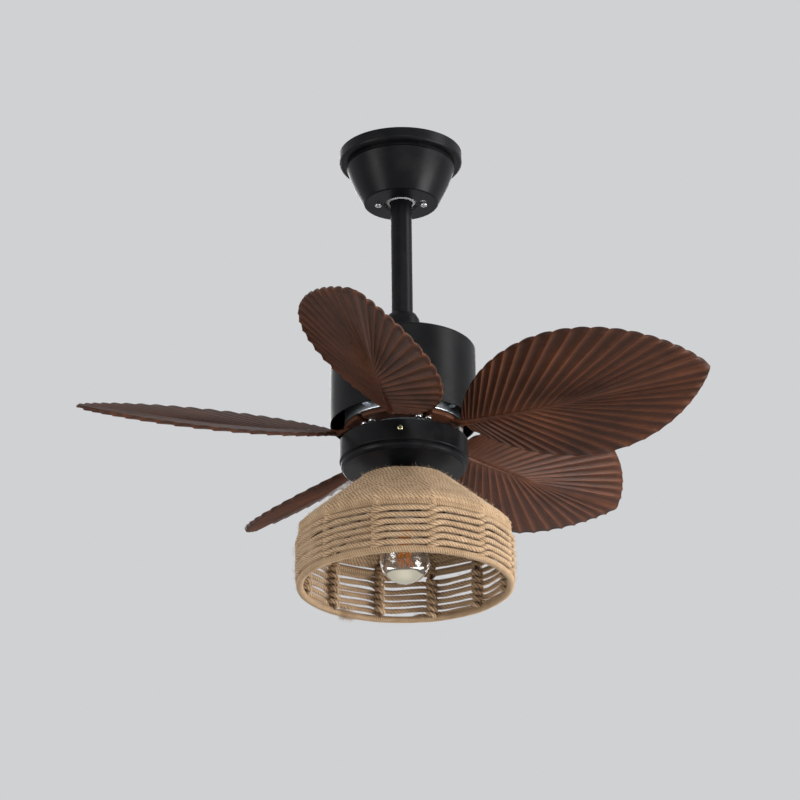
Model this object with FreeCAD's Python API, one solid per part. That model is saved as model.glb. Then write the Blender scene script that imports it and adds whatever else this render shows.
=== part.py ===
"""Ceiling fan with five palm-leaf blades and a rope-wound lamp shade, one solid or group per piece.

Millimetres, +Z up.  The origin is on the ceiling, on the fan's axis, so the whole fan hangs below Z = 0.
"""
import math
import os

import FreeCAD
import Part

V = FreeCAD.Vector
UP = V(0, 0, 1)
ALONG_X = V(1, 0, 0)
ALONG_Y = V(0, 1, 0)

# Fits shared by every assembly
seat_gap = 0.05         # between two pieces that do not move against each other
running_gap = 0.05      # radial room of a pin or shaft in its bearing
sheet_wall = 1.2        # spun and pressed covers
recess_depth = 1.2      # cross recess in a screw head
recess_width = 1.1
recess_reach = 0.6      # share of the head's radius
head_crown = 0.7        # share of the head's height that is rounded
fine_edge = 1.5         # small rounding of turned edges

# Ceiling canopy and hanger bracket
canopy_rim_r = 74.0
canopy_band_h = 15.0
canopy_ledge_r = 64.5   # neck between rim and cup
canopy_ledge_drop = 3.2
canopy_cup_r = 65.5
canopy_belly_r = 57.4   # corner of the cup's bulge
canopy_belly_drop = 41.0
canopy_belly_round = 220.0
canopy_floor_round = 2.5
canopy_h = 66.8
canopy_floor_r = 44.4
canopy_hole_r = 20.4
canopy_screw_pitch_r = 27.4
canopy_band_round = 4.0
canopy_screw_r = 2.0
canopy_screw_head_r = 4.2
canopy_screw_head_h = 2.6
keyhole_turn = 15.0     # degrees from the screw to the keyhole's wide end
keyhole_cuts = 6        # round cuts that make the keyhole's slot
bracket_sheet = 2.0
bracket_plate_width = 34.0
bracket_plate_length = 124.0
ceiling_hole_spacing = 90.0
ceiling_hole_r = 3.0
bracket_leg_width = 30.0
bracket_leg_span = 66.0
socket_ring_h = 9.6
socket_ring_r = 34.0
terminal_width = 16.0
terminal_length = 40.0
terminal_h = 11.0
terminal_ways = 3
terminal_hole_r = 2.2

# Hanger ball and downrod
ball_r = 26.0
ball_drop = 45.0        # ceiling to the ball's centre
ball_top_cut = 14.0     # flat top above the centre
ball_bottom_cut = 20.6  # ribbed underside below the centre
ball_bore_gap = 1.5     # lets the rod sway on its pin
ball_ribs = 36
ball_rib_slot = 1.2
ball_rib_h = 4.0
hanger_pin_r = 3.0
hanger_pin_inset = 3.0
rod_r = 12.7
rod_wall = 2.0
rod_stub = 20.0         # rod above the ball's centre
rod_length = 219.0

# Coupling between rod and motor
yoke_r = 17.0
yoke_socket_depth = 20.0
yoke_web = 14.0
yoke_flange_r = 36.0
yoke_flange_t = 5.0
yoke_screw_pitch_r = 28.0
clevis_pin_r = 3.0
clevis_pin_up = 10.0    # above the rod's foot
clevis_pin_overhang = 2.5
clevis_head_r = 4.5
clevis_clip_t = 1.2
grub_screw_r = 2.5
grub_screw_up = 15.5
cover_top_r = 17.0
cover_h = 44.0
cover_shoulder_r = 20.3
cover_shoulder_drop = 6.0
cover_waist_r = 22.5
cover_waist_drop = 24.0
cover_foot_r = 38.0
cover_rod_gap = 0.3
cover_top_round = 2.0
cover_shoulder_round = 4.0
cover_waist_round = 8.0

# Motor
housing_r = 86.0
housing_h = 96.5
housing_wall = 1.5
housing_edge_round = 4.0
housing_screw_r = 2.0
housing_screw_head_r = 3.8
housing_screw_head_h = 2.4
housing_screws_count = 3
motor_headroom = 8.0
rotor_room = 15.5       # housing's wall to the rotor
rotor_h = 84.5
rotor_wall = 3.0
rotor_floor = 8.0
rotor_split_drop = 40.0
rotor_edge_round = 6.0
rotor_lugs = 4
rotor_lug_r = 4.0
rotor_lug_phase = -128.0
rotor_bolt_r = 1.6
rotor_bolt_head_r = 2.4
rotor_bolt_head_h = 1.8
lug_head_gap = 0.2      # bolt's head to the rotor's side
shaft_r = 9.0
shaft_bore_r = 5.0
shaft_foot_r = 7.5
shaft_foot_len = 17.0
bearing_r = 17.5
bearing_w = 9.0
bearing_boss = 4.0
bearing_land = 2.5      # width of each ring's face
bearing_edge = 0.6
seal_depth = 0.8
core_h = 34.0
core_drop = 25.5
core_ring_t = 10.0
air_gap = 0.6
stator_hub_r = 22.0
stator_teeth = 12
tooth_width = 9.0
tooth_tip_t = 4.0
tooth_tip_angle = 24.0
coil_t = 3.2
coil_inset = 2.0

# Blades
blade_count = 5
blade_phase = -25.4
blade_tip_r = 384.0
blade_pitch = 29.3
blade_rise = 2.8        # degrees that the midrib climbs towards the tip
tab_overhang = 1.0      # tab beyond the rotor
tab_w = 23.0
tab_t = 6.0
tab_seam = 2.5          # degrees from a tab's side to the seam between two tabs
tab_skew = -4.1         # degrees from a blade's tip line to the middle of its tab
gasket_t = 1.0
blade_screw_edge = 13.5     # rotor's side to the screws' circle
blade_screw_inset = 4.0     # degrees from a tab's side to its screw
blade_screw_r = 2.5
blade_screw_head_r = 4.4
blade_screw_head_h = 3.5
blade_screw_bite = 6.0  # thread in the motor's floor
leaf_root_inset = 8.0   # leaf starts this far inside the housing's radius
leaf_drop = 8.7         # midrib below the middle of the tab
leaf_t = 2.4
raised_half_w = 96.0    # half that the pitch lifts
raised_root = 0.69      # powers of the half's rise from the root and fall to the tip
raised_tip = 0.74
lowered_half_w = 86.0
lowered_root = 0.8
lowered_tip = 0.86
keel_h = 6.0            # midrib below the leaf's edges midway
pleats = 18
pleat_h = 2.4
pleat_fade = 8.0        # pleat heights over which the ripple grows from the midrib
midrib_reach = 0.46     # share of the leaf along which veins leave the midrib
vein_crowding = 1.2     # power that crowds the veins' feet towards the root
neck_w = 22.0
neck_len = 30.0
midrib_w = 8.0
midrib_h = 6.0
midrib_tip_w = 2.0

# Light-kit plate and pan
plate_clearance = 3.5
plate_t = 1.5
plate_r = 58.0
plate_ears = 3
ear_phase = -93.0
ear_width = 14.0
ear_h = 24.0
ear_step = 10.0         # ears' arms below the plate, out of sight under the pan's rim
earth_phase = -25.0     # upright tab for the earth wire
earth_width = 9.0
earth_h = 8.0
ear_gap = 0.3
shaft_nut_r = 12.0
shaft_nut_h = 8.0
capacitor_r = 24.0      # axis to its near side
capacitor_depth = 24.0
capacitor_width = 42.0
capacitor_h = 24.0
capacitor_round = 4.0
capacitor_ear_len = 12.0
capacitor_ear_t = 2.0
capacitor_screw_r = 1.5
capacitor_screw_head_r = 2.9
capacitor_screw_head_h = 1.8
capacitor_azimuth = 90.0
pan_r = 75.4
pan_h = 34.0
pan_drop = 6.0          # pan's mouth below the plate's top
pan_groove_up = 8.4     # groove's middle above the pan's underside
pan_groove_depth = 2.8
pan_groove_flare = 1.6
pan_groove_w = 1.0
pan_bead_inset = 1.4
pan_bead_up = 6.2
pan_lip_inset = 0.6
pan_lip_up = 3.0
pan_lip_round = 1.0
pan_foot_inset = 4.9
pan_screw_drop = 11.0
pan_screw_r = 1.9
pan_screw_head_r = 3.3
pan_screw_head_h = 2.2
pan_screw_tail = 3.0    # thread behind the ear

# Lamp holder and bulb
nipple_r = 5.0
nipple_wall = 1.5
nipple_up = 12.0
nipple_down = 10.0
nipple_nut_r = 9.0
nipple_nut_h = 5.0
holder_r = 19.5
holder_len = 57.0
holder_dome_r = 14.0
holder_dome_h = 8.0
holder_wall = 3.0
holder_edge_round = 2.0
holder_flange_drop = 13.7
holder_flange_r = 24.0
holder_flange_t = 4.0
shade_nut_r = 25.0
shade_nut_h = 8.0
shade_nut_notches = 16
shade_nut_notch = 2.0
contact_shell_t = 1.0
contact_shell_gap = 0.4
centre_contact_r = 4.0
centre_contact_h = 4.0
bulb_drop = 32.0        # holder's top to the bulb's end contact
bulb_len = 107.5
bulb_r = 29.25
bulb_wall = 0.8
bulb_neck_r = 13.6
bulb_blend = 55.0       # degrees from the top where the neck's curve meets the globe
cap_r = 13.1
cap_len = 25.0
cap_tip_r = 4.8
cap_tip_h = 3.0
cap_bevel = 2.0
stem_r = 2.2
stem_len = 44.0
stem_disc_r = 9.0
stem_disc_t = 1.0
stem_disc_drop = 12.0
filament_r = 1.1
filaments = 4
filament_pitch_r = 7.0
filament_phase = 45.0

# Rope-wound shade
shade_top_r = 46.0
shade_skirt_r = 119.0
shade_cone_h = 60.4
shade_skirt_h = 62.6
shade_bend_r = 8.0
shoulder_ring_drop = 2.5    # below the end of the ribs' bend
shade_ribs = 12
shade_rib_phase = 15.0
shade_rib_r = 1.5
shade_ring_r = 2.0
shade_ring_out = 2.0    # shoulder and bottom rings outside the ribs
binding_r = 3.9
spider_t = 2.5
spider_spokes = 3
spider_spoke_w = 5.0
spider_hub_w = 3.5
rope_d = 6.0
rope_gap = 0.25
cone_rope_turns = 12
skirt_rope_turns = 5.5
rope_phase = 60.0       # azimuth where both windings start
cone_rope_start = 0.02  # shares of the cone's length between which the rope is wound
cone_rope_end = 0.93
skirt_rope_margin = 0.35
winding_step = 90.0     # degrees of winding in one pair of arcs

# Levels worked out from the sizes above, top to bottom
canopy_floor_z = -canopy_h
ball_z = -ball_drop
rod_top_z = ball_z + rod_stub
rod_foot_z = rod_top_z - rod_length
yoke_top_z = rod_foot_z + yoke_socket_depth
housing_top_z = rod_foot_z - yoke_web
flange_top_z = housing_top_z - housing_wall
flange_low_z = flange_top_z - yoke_flange_t
rotor_top_z = flange_low_z - motor_headroom
rotor_low_z = rotor_top_z - rotor_h
rotor_split_z = rotor_top_z - rotor_split_drop
core_top_z = rotor_top_z - core_drop
core_low_z = core_top_z - core_h
tab_top_z = rotor_low_z - gasket_t
tab_low_z = tab_top_z - tab_t
plate_top_z = tab_low_z - blade_screw_head_h - plate_clearance
plate_low_z = plate_top_z - plate_t
pan_top_z = plate_top_z - pan_drop
pan_low_z = pan_top_z - pan_h
holder_low_z = pan_low_z - holder_len
flange_seat_z = pan_low_z - holder_flange_drop - holder_flange_t
spider_low_z = flange_seat_z - spider_t
bulb_tip_z = pan_low_z - bulb_drop
bulb_low_z = bulb_tip_z - bulb_len
bulb_z = bulb_low_z + bulb_r
cap_low_z = bulb_tip_z - cap_len
shade_top_z = flange_seat_z - spider_t / 2
shade_corner_z = shade_top_z - shade_cone_h
shade_low_z = shade_corner_z - shade_skirt_h

# Radii and angles worked out from the sizes above
rotor_r = housing_r - housing_wall - rotor_room
rotor_bore_r = rotor_r - rotor_wall
lug_pitch_r = rotor_r + rotor_bolt_head_r + lug_head_gap
core_ring_r = rotor_bore_r - seat_gap
core_ring_bore_r = core_ring_r - core_ring_t
stator_r = core_ring_bore_r - air_gap
leaf_root_r = housing_r - leaf_root_inset
leaf_len = blade_tip_r - leaf_root_r
leaf_root_z = (tab_top_z + tab_low_z) / 2 - leaf_drop
pan_bore_r = pan_r - sheet_wall
pan_bead_r = pan_r - pan_bead_inset
pan_foot_r = pan_r - pan_foot_inset
tab_outer_r = rotor_r + tab_overhang
tab_inner_r = tab_outer_r - tab_w
blade_screw_pitch_r = rotor_r - blade_screw_edge
tab_half_angle = 180.0 / blade_count - tab_seam
arm_start_r = plate_r - ear_width / 4
leaf_root_shift = leaf_root_r * math.tan(math.radians(tab_skew))
blade_screw_angle = tab_half_angle - blade_screw_inset
holder_bore_r = holder_r - holder_wall
shade_binding_r = shade_skirt_r + shade_ring_out + shade_ring_r / 2


def polar(radius, degrees, z=0.0):
    """Point at a radius and an azimuth about the fan's axis."""
    a = math.radians(degrees)
    return V(radius * math.cos(a), radius * math.sin(a), z)


def around(count, phase=0.0):
    """Azimuths of a pattern of equal steps about the axis."""
    return [phase + 360.0 * k / count for k in range(count)]


def turned_about_axis(shape, degrees):
    """Copy of a shape turned about the fan's axis."""
    copy = shape.copy()
    copy.rotate(V(0, 0, 0), UP, degrees)
    return copy


def ringed(shape, count, phase=0.0):
    """Copies of a shape in equal steps about the axis."""
    return [turned_about_axis(shape, a) for a in around(count, phase)]


def aimed(shape, place, direction):
    """Copy of a shape whose own +Z points along a direction from a place."""
    copy = shape.copy()
    copy.Placement = FreeCAD.Placement(place, FreeCAD.Rotation(UP, direction)).multiply(copy.Placement)
    return copy


def rounded_wire(points, radii, closed):
    """Straight runs joined by tangent arcs, one radius per corner, 0 for a sharp one."""
    count = len(points)
    corners = []
    for i, (p, radius) in enumerate(zip(points, radii)):
        if radius == 0 or (not closed and i in (0, count - 1)):
            corners.append((p, None, p))
            continue
        back = (points[i - 1] - p).normalize()
        ahead = (points[(i + 1) % count] - p).normalize()
        half = back.getAngle(ahead) / 2
        reach = radius / math.tan(half)
        middle = (back + ahead).normalize() * (radius / math.sin(half) - radius)
        corners.append((p + back * reach, p + middle, p + ahead * reach))
    edges = []
    for i, (start, middle, end) in enumerate(corners):
        if middle is not None:
            edges.append(Part.Arc(start, middle, end).toShape())
        if closed or i < count - 1:
            edges.append(Part.LineSegment(end, corners[(i + 1) % count][0]).toShape())
    return Part.Wire(edges)


def turned(profile):
    """Solid of revolution about the axis from (radius, z) or (radius, z, corner radius) points."""
    points = [V(p[0], 0, p[1]) for p in profile]
    radii = [p[2] if len(p) > 2 else 0 for p in profile]
    return Part.Face(rounded_wire(points, radii, True)).revolve(V(0, 0, 0), UP, 360)


def rod_between(start, end, radius):
    """Round bar from one point to another."""
    return Part.makeCylinder(radius, (end - start).Length, start, end - start)


def tube(outer_r, inner_r, low_z, high_z):
    """Upright round tube on the axis."""
    height = high_z - low_z
    outer = Part.makeCylinder(outer_r, height, V(0, 0, low_z))
    return outer.cut(Part.makeCylinder(inner_r, height, V(0, 0, low_z)))


def block(x0, x1, y0, y1, z0, z1):
    """Box between two corners."""
    return Part.makeBox(x1 - x0, y1 - y0, z1 - z0, V(x0, y0, z0))


def pan_head_screw(shank_r, length, head_r, head_h):
    """Cross-recessed screw: the head's seat is at the origin, the head above and the shank below."""
    head = turned([(0, 0), (head_r, 0), (head_r, head_h, head_h * head_crown), (0, head_h)])
    body = head.fuse(Part.makeCylinder(shank_r, length, V(0, 0, -length)))
    reach = head_r * recess_reach
    half = recess_width / 2
    floor = head_h - min(recess_depth, head_h * recess_reach)
    across = block(-reach, reach, -half, half, floor, head_h)
    along = block(-half, half, -reach, reach, floor, head_h)
    return body.cut([across, along])


def hexagon(across_r, bore_r, low_z, height):
    """Hexagonal nut on the axis."""
    corners = [polar(across_r, a, low_z) for a in around(6)]
    prism = Part.Face(Part.makePolygon(corners + corners[:1])).extrude(V(0, 0, height))
    return prism.cut(Part.makeCylinder(bore_r, height, V(0, 0, low_z)))


def arc_from(start, heading, end):
    """Arc that leaves a point along a heading and ends at another point."""
    chord = end - start
    side = chord - heading * chord.dot(heading)
    side.normalize()
    radius = chord.Length ** 2 / (2 * chord.dot(side))
    centre = start + side * radius
    middle = ((start - centre) + (end - centre)).normalize() * radius
    return Part.Arc(start, centre + middle, end).toShape()


def biarc(p0, t0, p1, t1):
    """Two tangent arcs between two points with given headings."""
    chord = p1 - p0
    both = chord.dot(t0 + t1)
    turn = 2 * (1 - t0.dot(t1))
    reach = (math.sqrt(both ** 2 + turn * chord.dot(chord)) - both) / turn
    joint = (p0 + p1 + (t0 - t1) * reach) * 0.5
    heading = ((p1 - t1 * reach) - (p0 + t0 * reach)).normalize()
    return [arc_from(p0, t0, joint), arc_from(joint, heading, p1)]


def winding(name, start_r, start_z, end_r, end_z, turns, phase):
    """One unbroken rope wound about the axis, its radius and level changing at a steady rate."""
    sweep = 360.0 * turns

    def at(share):
        radius = start_r + (end_r - start_r) * share
        return polar(radius, phase + sweep * share, start_z + (end_z - start_z) * share)

    def heading(share):
        radius = start_r + (end_r - start_r) * share
        a = math.radians(phase + sweep * share)
        per_radian = 1 / math.radians(sweep)
        out = V(math.cos(a), math.sin(a), 0) * ((end_r - start_r) * per_radian)
        along = V(-math.sin(a), math.cos(a), 0) * radius
        return (out + along + V(0, 0, (end_z - start_z) * per_radian)).normalize()

    steps = math.ceil(sweep / winding_step)
    shares = [k / steps for k in range(steps + 1)]
    edges = [Part.LineSegment(at(0) - heading(0) * rope_d, at(0)).toShape()]
    for s0, s1 in zip(shares, shares[1:]):
        edges += biarc(at(s0), heading(s0), at(s1), heading(s1))
    edges.append(Part.LineSegment(at(1), at(1) + heading(1) * rope_d).toShape())
    path = Part.Wire(edges)
    section = Part.Wire(Part.makeCircle(rope_d / 2, at(0) - heading(0) * rope_d, heading(0)))
    rope = path.makePipeShell([section], True, False)
    ideal = math.pi * rope_d ** 2 / 4 * path.Length
    print(f"{name}: {turns} turns, {path.Length:.0f} mm")
    print(f"{name}: volume {rope.Volume / ideal:.4f} of section times length")
    print(f"{name}: least gap to itself {least_gap(at, turns):.2f} mm")
    return rope


def least_gap(at, turns, points_per_turn=48):
    """Least distance between points of a winding that are over half a turn apart, less the rope."""
    count = int(turns * points_per_turn)
    points = [at(k / count) for k in range(count + 1)]
    apart = points_per_turn // 2
    nearest = min(
        p.distanceToPoint(q) for i, p in enumerate(points) for q in points[i + apart:]
    )
    return nearest - rope_d


def save(name, shape):
    """Write one node's solid or group of solids."""
    group = Part.makeCompound(shape) if isinstance(shape, list) else shape
    if not group.isValid() or group.Volume <= 0:
        raise ValueError(f"{name} is not a valid solid")
    group.exportStep(f"parts/{name}.step")


def canopy():
    """Spun cup against the ceiling with a stepped rim, a keyhole and a hole for the rod."""
    wall = sheet_wall
    ledge_z = -canopy_band_h - canopy_ledge_drop
    ledge_inner_r = canopy_ledge_r - wall * 1.5
    shell = turned([
        (canopy_rim_r, 0), (canopy_rim_r, -canopy_band_h, canopy_band_round),
        (canopy_ledge_r, -canopy_band_h), (canopy_ledge_r, ledge_z), (canopy_cup_r, ledge_z, fine_edge),
        (canopy_belly_r, -canopy_belly_drop, canopy_belly_round),
        (canopy_floor_r, canopy_floor_z, canopy_floor_round), (canopy_hole_r, canopy_floor_z),
        (canopy_hole_r, canopy_floor_z + wall), (canopy_floor_r - wall, canopy_floor_z + wall),
        (canopy_belly_r - wall, -canopy_belly_drop, canopy_belly_round - wall),
        (ledge_inner_r, ledge_z), (ledge_inner_r, -canopy_band_h + wall),
        (canopy_rim_r - wall, -canopy_band_h + wall, canopy_band_round - wall), (canopy_rim_r - wall, 0),
    ])
    low_z = canopy_floor_z - wall
    deep = wall * 3
    slot_r = canopy_screw_r + running_gap
    slot_turns = [180.0] + [-keyhole_turn * step / keyhole_cuts for step in range(keyhole_cuts)]
    cuts = [Part.makeCylinder(slot_r, deep, polar(canopy_screw_pitch_r, a, low_z)) for a in slot_turns]
    wide = polar(canopy_screw_pitch_r, -keyhole_turn, low_z)
    cuts.append(Part.makeCylinder(canopy_screw_head_r + running_gap, deep, wide))
    return shell.cut(cuts)


def hanger_bracket():
    """Ceiling plate, two legs and the ring whose spherical seat carries the ball."""
    half_w = bracket_plate_width / 2
    half_l = bracket_plate_length / 2
    corners = [V(x * half_w, y * half_l, -bracket_sheet) for x, y in ((1, 1), (-1, 1), (-1, -1), (1, -1))]
    plate = Part.Face(rounded_wire(corners, [half_w * 0.6] * 4, True)).extrude(V(0, 0, bracket_sheet))
    deep = bracket_sheet * 3
    holes = [
        Part.makeCylinder(ceiling_hole_r, deep, V(0, side * ceiling_hole_spacing / 2, -bracket_sheet * 2))
        for side in (1, -1)
    ]
    ring_low_z = canopy_floor_z + sheet_wall
    ring_top_z = ring_low_z + socket_ring_h
    ring = tube(socket_ring_r, canopy_hole_r, ring_low_z, ring_top_z)
    ring = ring.cut(Part.makeSphere(ball_r + running_gap, V(0, 0, ball_z)))
    leg_x = bracket_leg_width / 2
    outer = bracket_leg_span / 2
    legs = [
        block(-leg_x, leg_x, outer - bracket_sheet, outer, ring_low_z, -bracket_sheet / 2),
        block(-leg_x, leg_x, -outer, bracket_sheet - outer, ring_low_z, -bracket_sheet / 2),
    ]
    thread_r = canopy_screw_r + seat_gap
    threads = [
        Part.makeCylinder(thread_r, socket_ring_h, polar(canopy_screw_pitch_r, a, ring_low_z))
        for a in (0, 180)
    ]
    return plate.cut(holes).fuse(legs + [ring]).cut(threads)


def canopy_screws():
    """Two pan-head screws through the canopy's floor into the bracket."""
    length = sheet_wall + socket_ring_h
    screw = pan_head_screw(canopy_screw_r, length, canopy_screw_head_r, canopy_screw_head_h)
    return [aimed(screw, polar(canopy_screw_pitch_r, a, canopy_floor_z), -UP) for a in (0, 180)]


def terminal_block():
    """Mains connector under the ceiling plate."""
    half_w = terminal_width / 2
    half_l = terminal_length / 2
    low_z = -bracket_sheet - terminal_h
    body = block(-half_w, half_w, -half_l, half_l, low_z, -bracket_sheet)
    pitch = terminal_length / terminal_ways
    ways = []
    for k in range(terminal_ways):
        place = V(-half_w, -half_l + pitch * (k + 0.5), low_z + terminal_h / 2)
        ways.append(Part.makeCylinder(terminal_hole_r, terminal_width, place, ALONG_X))
    return body.cut(ways)


def hanger_ball():
    """Moulded ball with a flat top, a ribbed underside, the rod's bore and the pin's hole."""
    ball = Part.makeSphere(ball_r, V(0, 0, ball_z))
    low_z = ball_z - ball_bottom_cut
    height = ball_bottom_cut + ball_top_cut
    ball = ball.common(Part.makeCylinder(ball_r, height, V(0, 0, low_z)))
    bore_r = rod_r + ball_bore_gap
    bore = Part.makeCylinder(bore_r, height, V(0, 0, low_z))
    pin_hole = Part.makeCylinder(hanger_pin_r + seat_gap, ball_r * 2, V(0, -ball_r, ball_z), ALONG_Y)
    half = ball_rib_slot / 2
    slot = block(bore_r + ball_rib_slot, ball_r, -half, half, low_z, low_z + ball_rib_h)
    return ball.cut([bore, pin_hole] + ringed(slot, ball_ribs))


def hanger_pin():
    """Cross pin that carries the rod in the ball."""
    half = ball_r - hanger_pin_inset
    return rod_between(V(0, -half, ball_z), V(0, half, ball_z), hanger_pin_r)


def downrod():
    """Steel tube with the holes of its two cross pins."""
    pipe = tube(rod_r, rod_r - rod_wall, rod_foot_z, rod_top_z)
    top = Part.makeCylinder(hanger_pin_r + running_gap, rod_r * 4, V(0, -rod_r * 2, ball_z), ALONG_Y)
    place = V(-rod_r * 2, 0, rod_foot_z + clevis_pin_up)
    foot = Part.makeCylinder(clevis_pin_r + seat_gap, rod_r * 4, place, ALONG_X)
    return pipe.cut([top, foot])


def coupling_yoke():
    """Socket for the rod above, a web that holds the shaft, and the flange under the housing's top."""
    body = turned([
        (0, yoke_top_z), (yoke_r, yoke_top_z, fine_edge), (yoke_r, flange_top_z),
        (yoke_flange_r, flange_top_z), (yoke_flange_r, flange_low_z, fine_edge), (0, flange_low_z),
    ])
    socket = Part.makeCylinder(rod_r + seat_gap, yoke_socket_depth, V(0, 0, rod_foot_z))
    bore = Part.makeCylinder(shaft_r + seat_gap, rod_foot_z - flange_low_z, V(0, 0, flange_low_z))
    reach = yoke_r * 2
    pin_place = V(-reach, 0, rod_foot_z + clevis_pin_up)
    pin = Part.makeCylinder(clevis_pin_r + seat_gap, reach * 2, pin_place, ALONG_X)
    grub_place = V(0, -reach, rod_foot_z + grub_screw_up)
    grub = Part.makeCylinder(grub_screw_r + seat_gap, reach * 2, grub_place, ALONG_Y)
    thread_r = housing_screw_r + seat_gap
    threads = [
        Part.makeCylinder(thread_r, yoke_flange_t, polar(yoke_screw_pitch_r, a, flange_low_z))
        for a in around(housing_screws_count)
    ]
    return body.cut([socket, bore, pin, grub] + threads)


def clevis_pin():
    """Headed pin through yoke and rod."""
    z = rod_foot_z + clevis_pin_up
    half = yoke_r + clevis_pin_overhang
    shank = rod_between(V(-half, 0, z), V(yoke_r, 0, z), clevis_pin_r)
    return shank.fuse(rod_between(V(yoke_r, 0, z), V(half, 0, z), clevis_head_r))


def clevis_clip():
    """Spring ring on the pin's plain end."""
    z = rod_foot_z + clevis_pin_up
    start = V(-yoke_r - clevis_clip_t, 0, z)
    end = V(-yoke_r, 0, z)
    return rod_between(start, end, clevis_head_r).cut(rod_between(start, end, clevis_pin_r + seat_gap))


def yoke_grub_screws():
    """Two headless screws that lock the rod in the yoke."""
    z = rod_foot_z + grub_screw_up
    return [rod_between(V(0, s * (rod_r + seat_gap), z), V(0, s * yoke_r, z), grub_screw_r) for s in (1, -1)]


def coupling_cover():
    """Bell that slides down the rod over the yoke and stands on the housing."""
    top_z = housing_top_z + cover_h
    wall = sheet_wall
    hole_r = rod_r + cover_rod_gap
    shoulder_z = top_z - cover_shoulder_drop
    waist_z = top_z - cover_waist_drop
    return turned([
        (hole_r, top_z), (cover_top_r, top_z, cover_top_round),
        (cover_shoulder_r, shoulder_z, cover_shoulder_round), (cover_waist_r, waist_z, cover_waist_round),
        (cover_foot_r, housing_top_z), (cover_foot_r - wall * 1.6, housing_top_z),
        (cover_waist_r - wall, waist_z, cover_waist_round),
        (cover_shoulder_r - wall, shoulder_z, cover_shoulder_round),
        (cover_top_r - wall * 0.7, top_z - wall), (hole_r, top_z - wall),
    ])


def motor_housing():
    """Deep drawn cup, open below, hung from the yoke's flange."""
    low_z = housing_top_z - housing_h
    hole_r = yoke_r + seat_gap
    inner_r = housing_r - housing_wall
    cup = turned([
        (hole_r, housing_top_z), (housing_r, housing_top_z, housing_edge_round), (housing_r, low_z),
        (inner_r, low_z), (inner_r, flange_top_z, housing_edge_round - housing_wall), (hole_r, flange_top_z),
    ])
    holes = [
        Part.makeCylinder(housing_screw_r + seat_gap, housing_wall * 3,
                          polar(yoke_screw_pitch_r, a, housing_top_z - housing_wall * 2))
        for a in around(housing_screws_count)
    ]
    return cup.cut(holes)


def housing_screws():
    """Screws under the coupling cover that hold the housing on the yoke."""
    length = housing_wall + yoke_flange_t
    screw = pan_head_screw(housing_screw_r, length, housing_screw_head_r, housing_screw_head_h)
    azimuths = around(housing_screws_count)
    return [aimed(screw, polar(yoke_screw_pitch_r, a, housing_top_z), UP) for a in azimuths]


def motor_shaft():
    """Fixed hollow shaft from the yoke to the light kit, stepped at its foot."""
    top_z = rod_foot_z - running_gap
    foot_z = plate_top_z - shaft_foot_len
    return turned([
        (shaft_bore_r, top_z), (shaft_r, top_z), (shaft_r, plate_top_z), (shaft_foot_r, plate_top_z),
        (shaft_foot_r, foot_z), (shaft_bore_r, foot_z),
    ])


def stator_core():
    """Laminated core: hub, teeth and tooth tips."""
    hub = tube(stator_hub_r, shaft_r + seat_gap, core_low_z, core_top_z)
    half = tooth_width / 2
    tip_in_r = stator_r - tooth_tip_t
    tooth = block(stator_hub_r - half, tip_in_r + tooth_tip_t / 2, -half, half, core_low_z, core_top_z)
    tip = Part.makeCylinder(stator_r, core_h, V(0, 0, core_low_z), UP, tooth_tip_angle)
    tip = tip.cut(Part.makeCylinder(tip_in_r, core_h, V(0, 0, core_low_z)))
    tip = turned_about_axis(tip, -tooth_tip_angle / 2)
    return hub.fuse(ringed(tooth.fuse(tip), stator_teeth))


def stator_coils():
    """One coil round each tooth."""
    half = tooth_width / 2 + seat_gap
    x0 = stator_hub_r + coil_inset
    x1 = stator_r - tooth_tip_t - coil_inset
    y1 = min(half + coil_t, x0 * math.tan(math.pi / stator_teeth) - seat_gap)
    outer = block(x0, x1, -y1, y1, core_low_z - coil_t, core_top_z + coil_t)
    coil = outer.cut(block(x0, x1, -half, half, core_low_z - seat_gap, core_top_z + seat_gap))
    return ringed(coil, stator_teeth)


def with_lugs(cover, low_z, high_z):
    """Bolt lugs down the side of one of the rotor's covers."""
    place = V(lug_pitch_r, 0, low_z)
    lug = Part.makeCylinder(rotor_lug_r, high_z - low_z, place)
    lug = lug.cut(Part.makeCylinder(rotor_bore_r + rotor_wall / 2, high_z - low_z, V(0, 0, low_z)))
    hole = Part.makeCylinder(rotor_bolt_r + seat_gap, high_z - low_z, place)
    cover = cover.fuse(ringed(lug, rotor_lugs, rotor_lug_phase))
    return cover.cut(ringed(hole, rotor_lugs, rotor_lug_phase))


def rotor_upper_cover():
    """Top half of the spinning motor case with the upper bearing's seat."""
    seat_r = bearing_r + seat_gap
    boss_r = bearing_r + bearing_boss
    roof_z = rotor_top_z - rotor_wall
    cover = turned([
        (seat_r, rotor_top_z), (rotor_r, rotor_top_z, rotor_edge_round), (rotor_r, rotor_split_z),
        (rotor_bore_r, rotor_split_z), (rotor_bore_r, roof_z, rotor_edge_round - rotor_wall),
        (boss_r, roof_z), (boss_r, rotor_top_z - bearing_w), (seat_r, rotor_top_z - bearing_w),
    ])
    return with_lugs(cover, rotor_split_z, rotor_top_z - rotor_edge_round)


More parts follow.
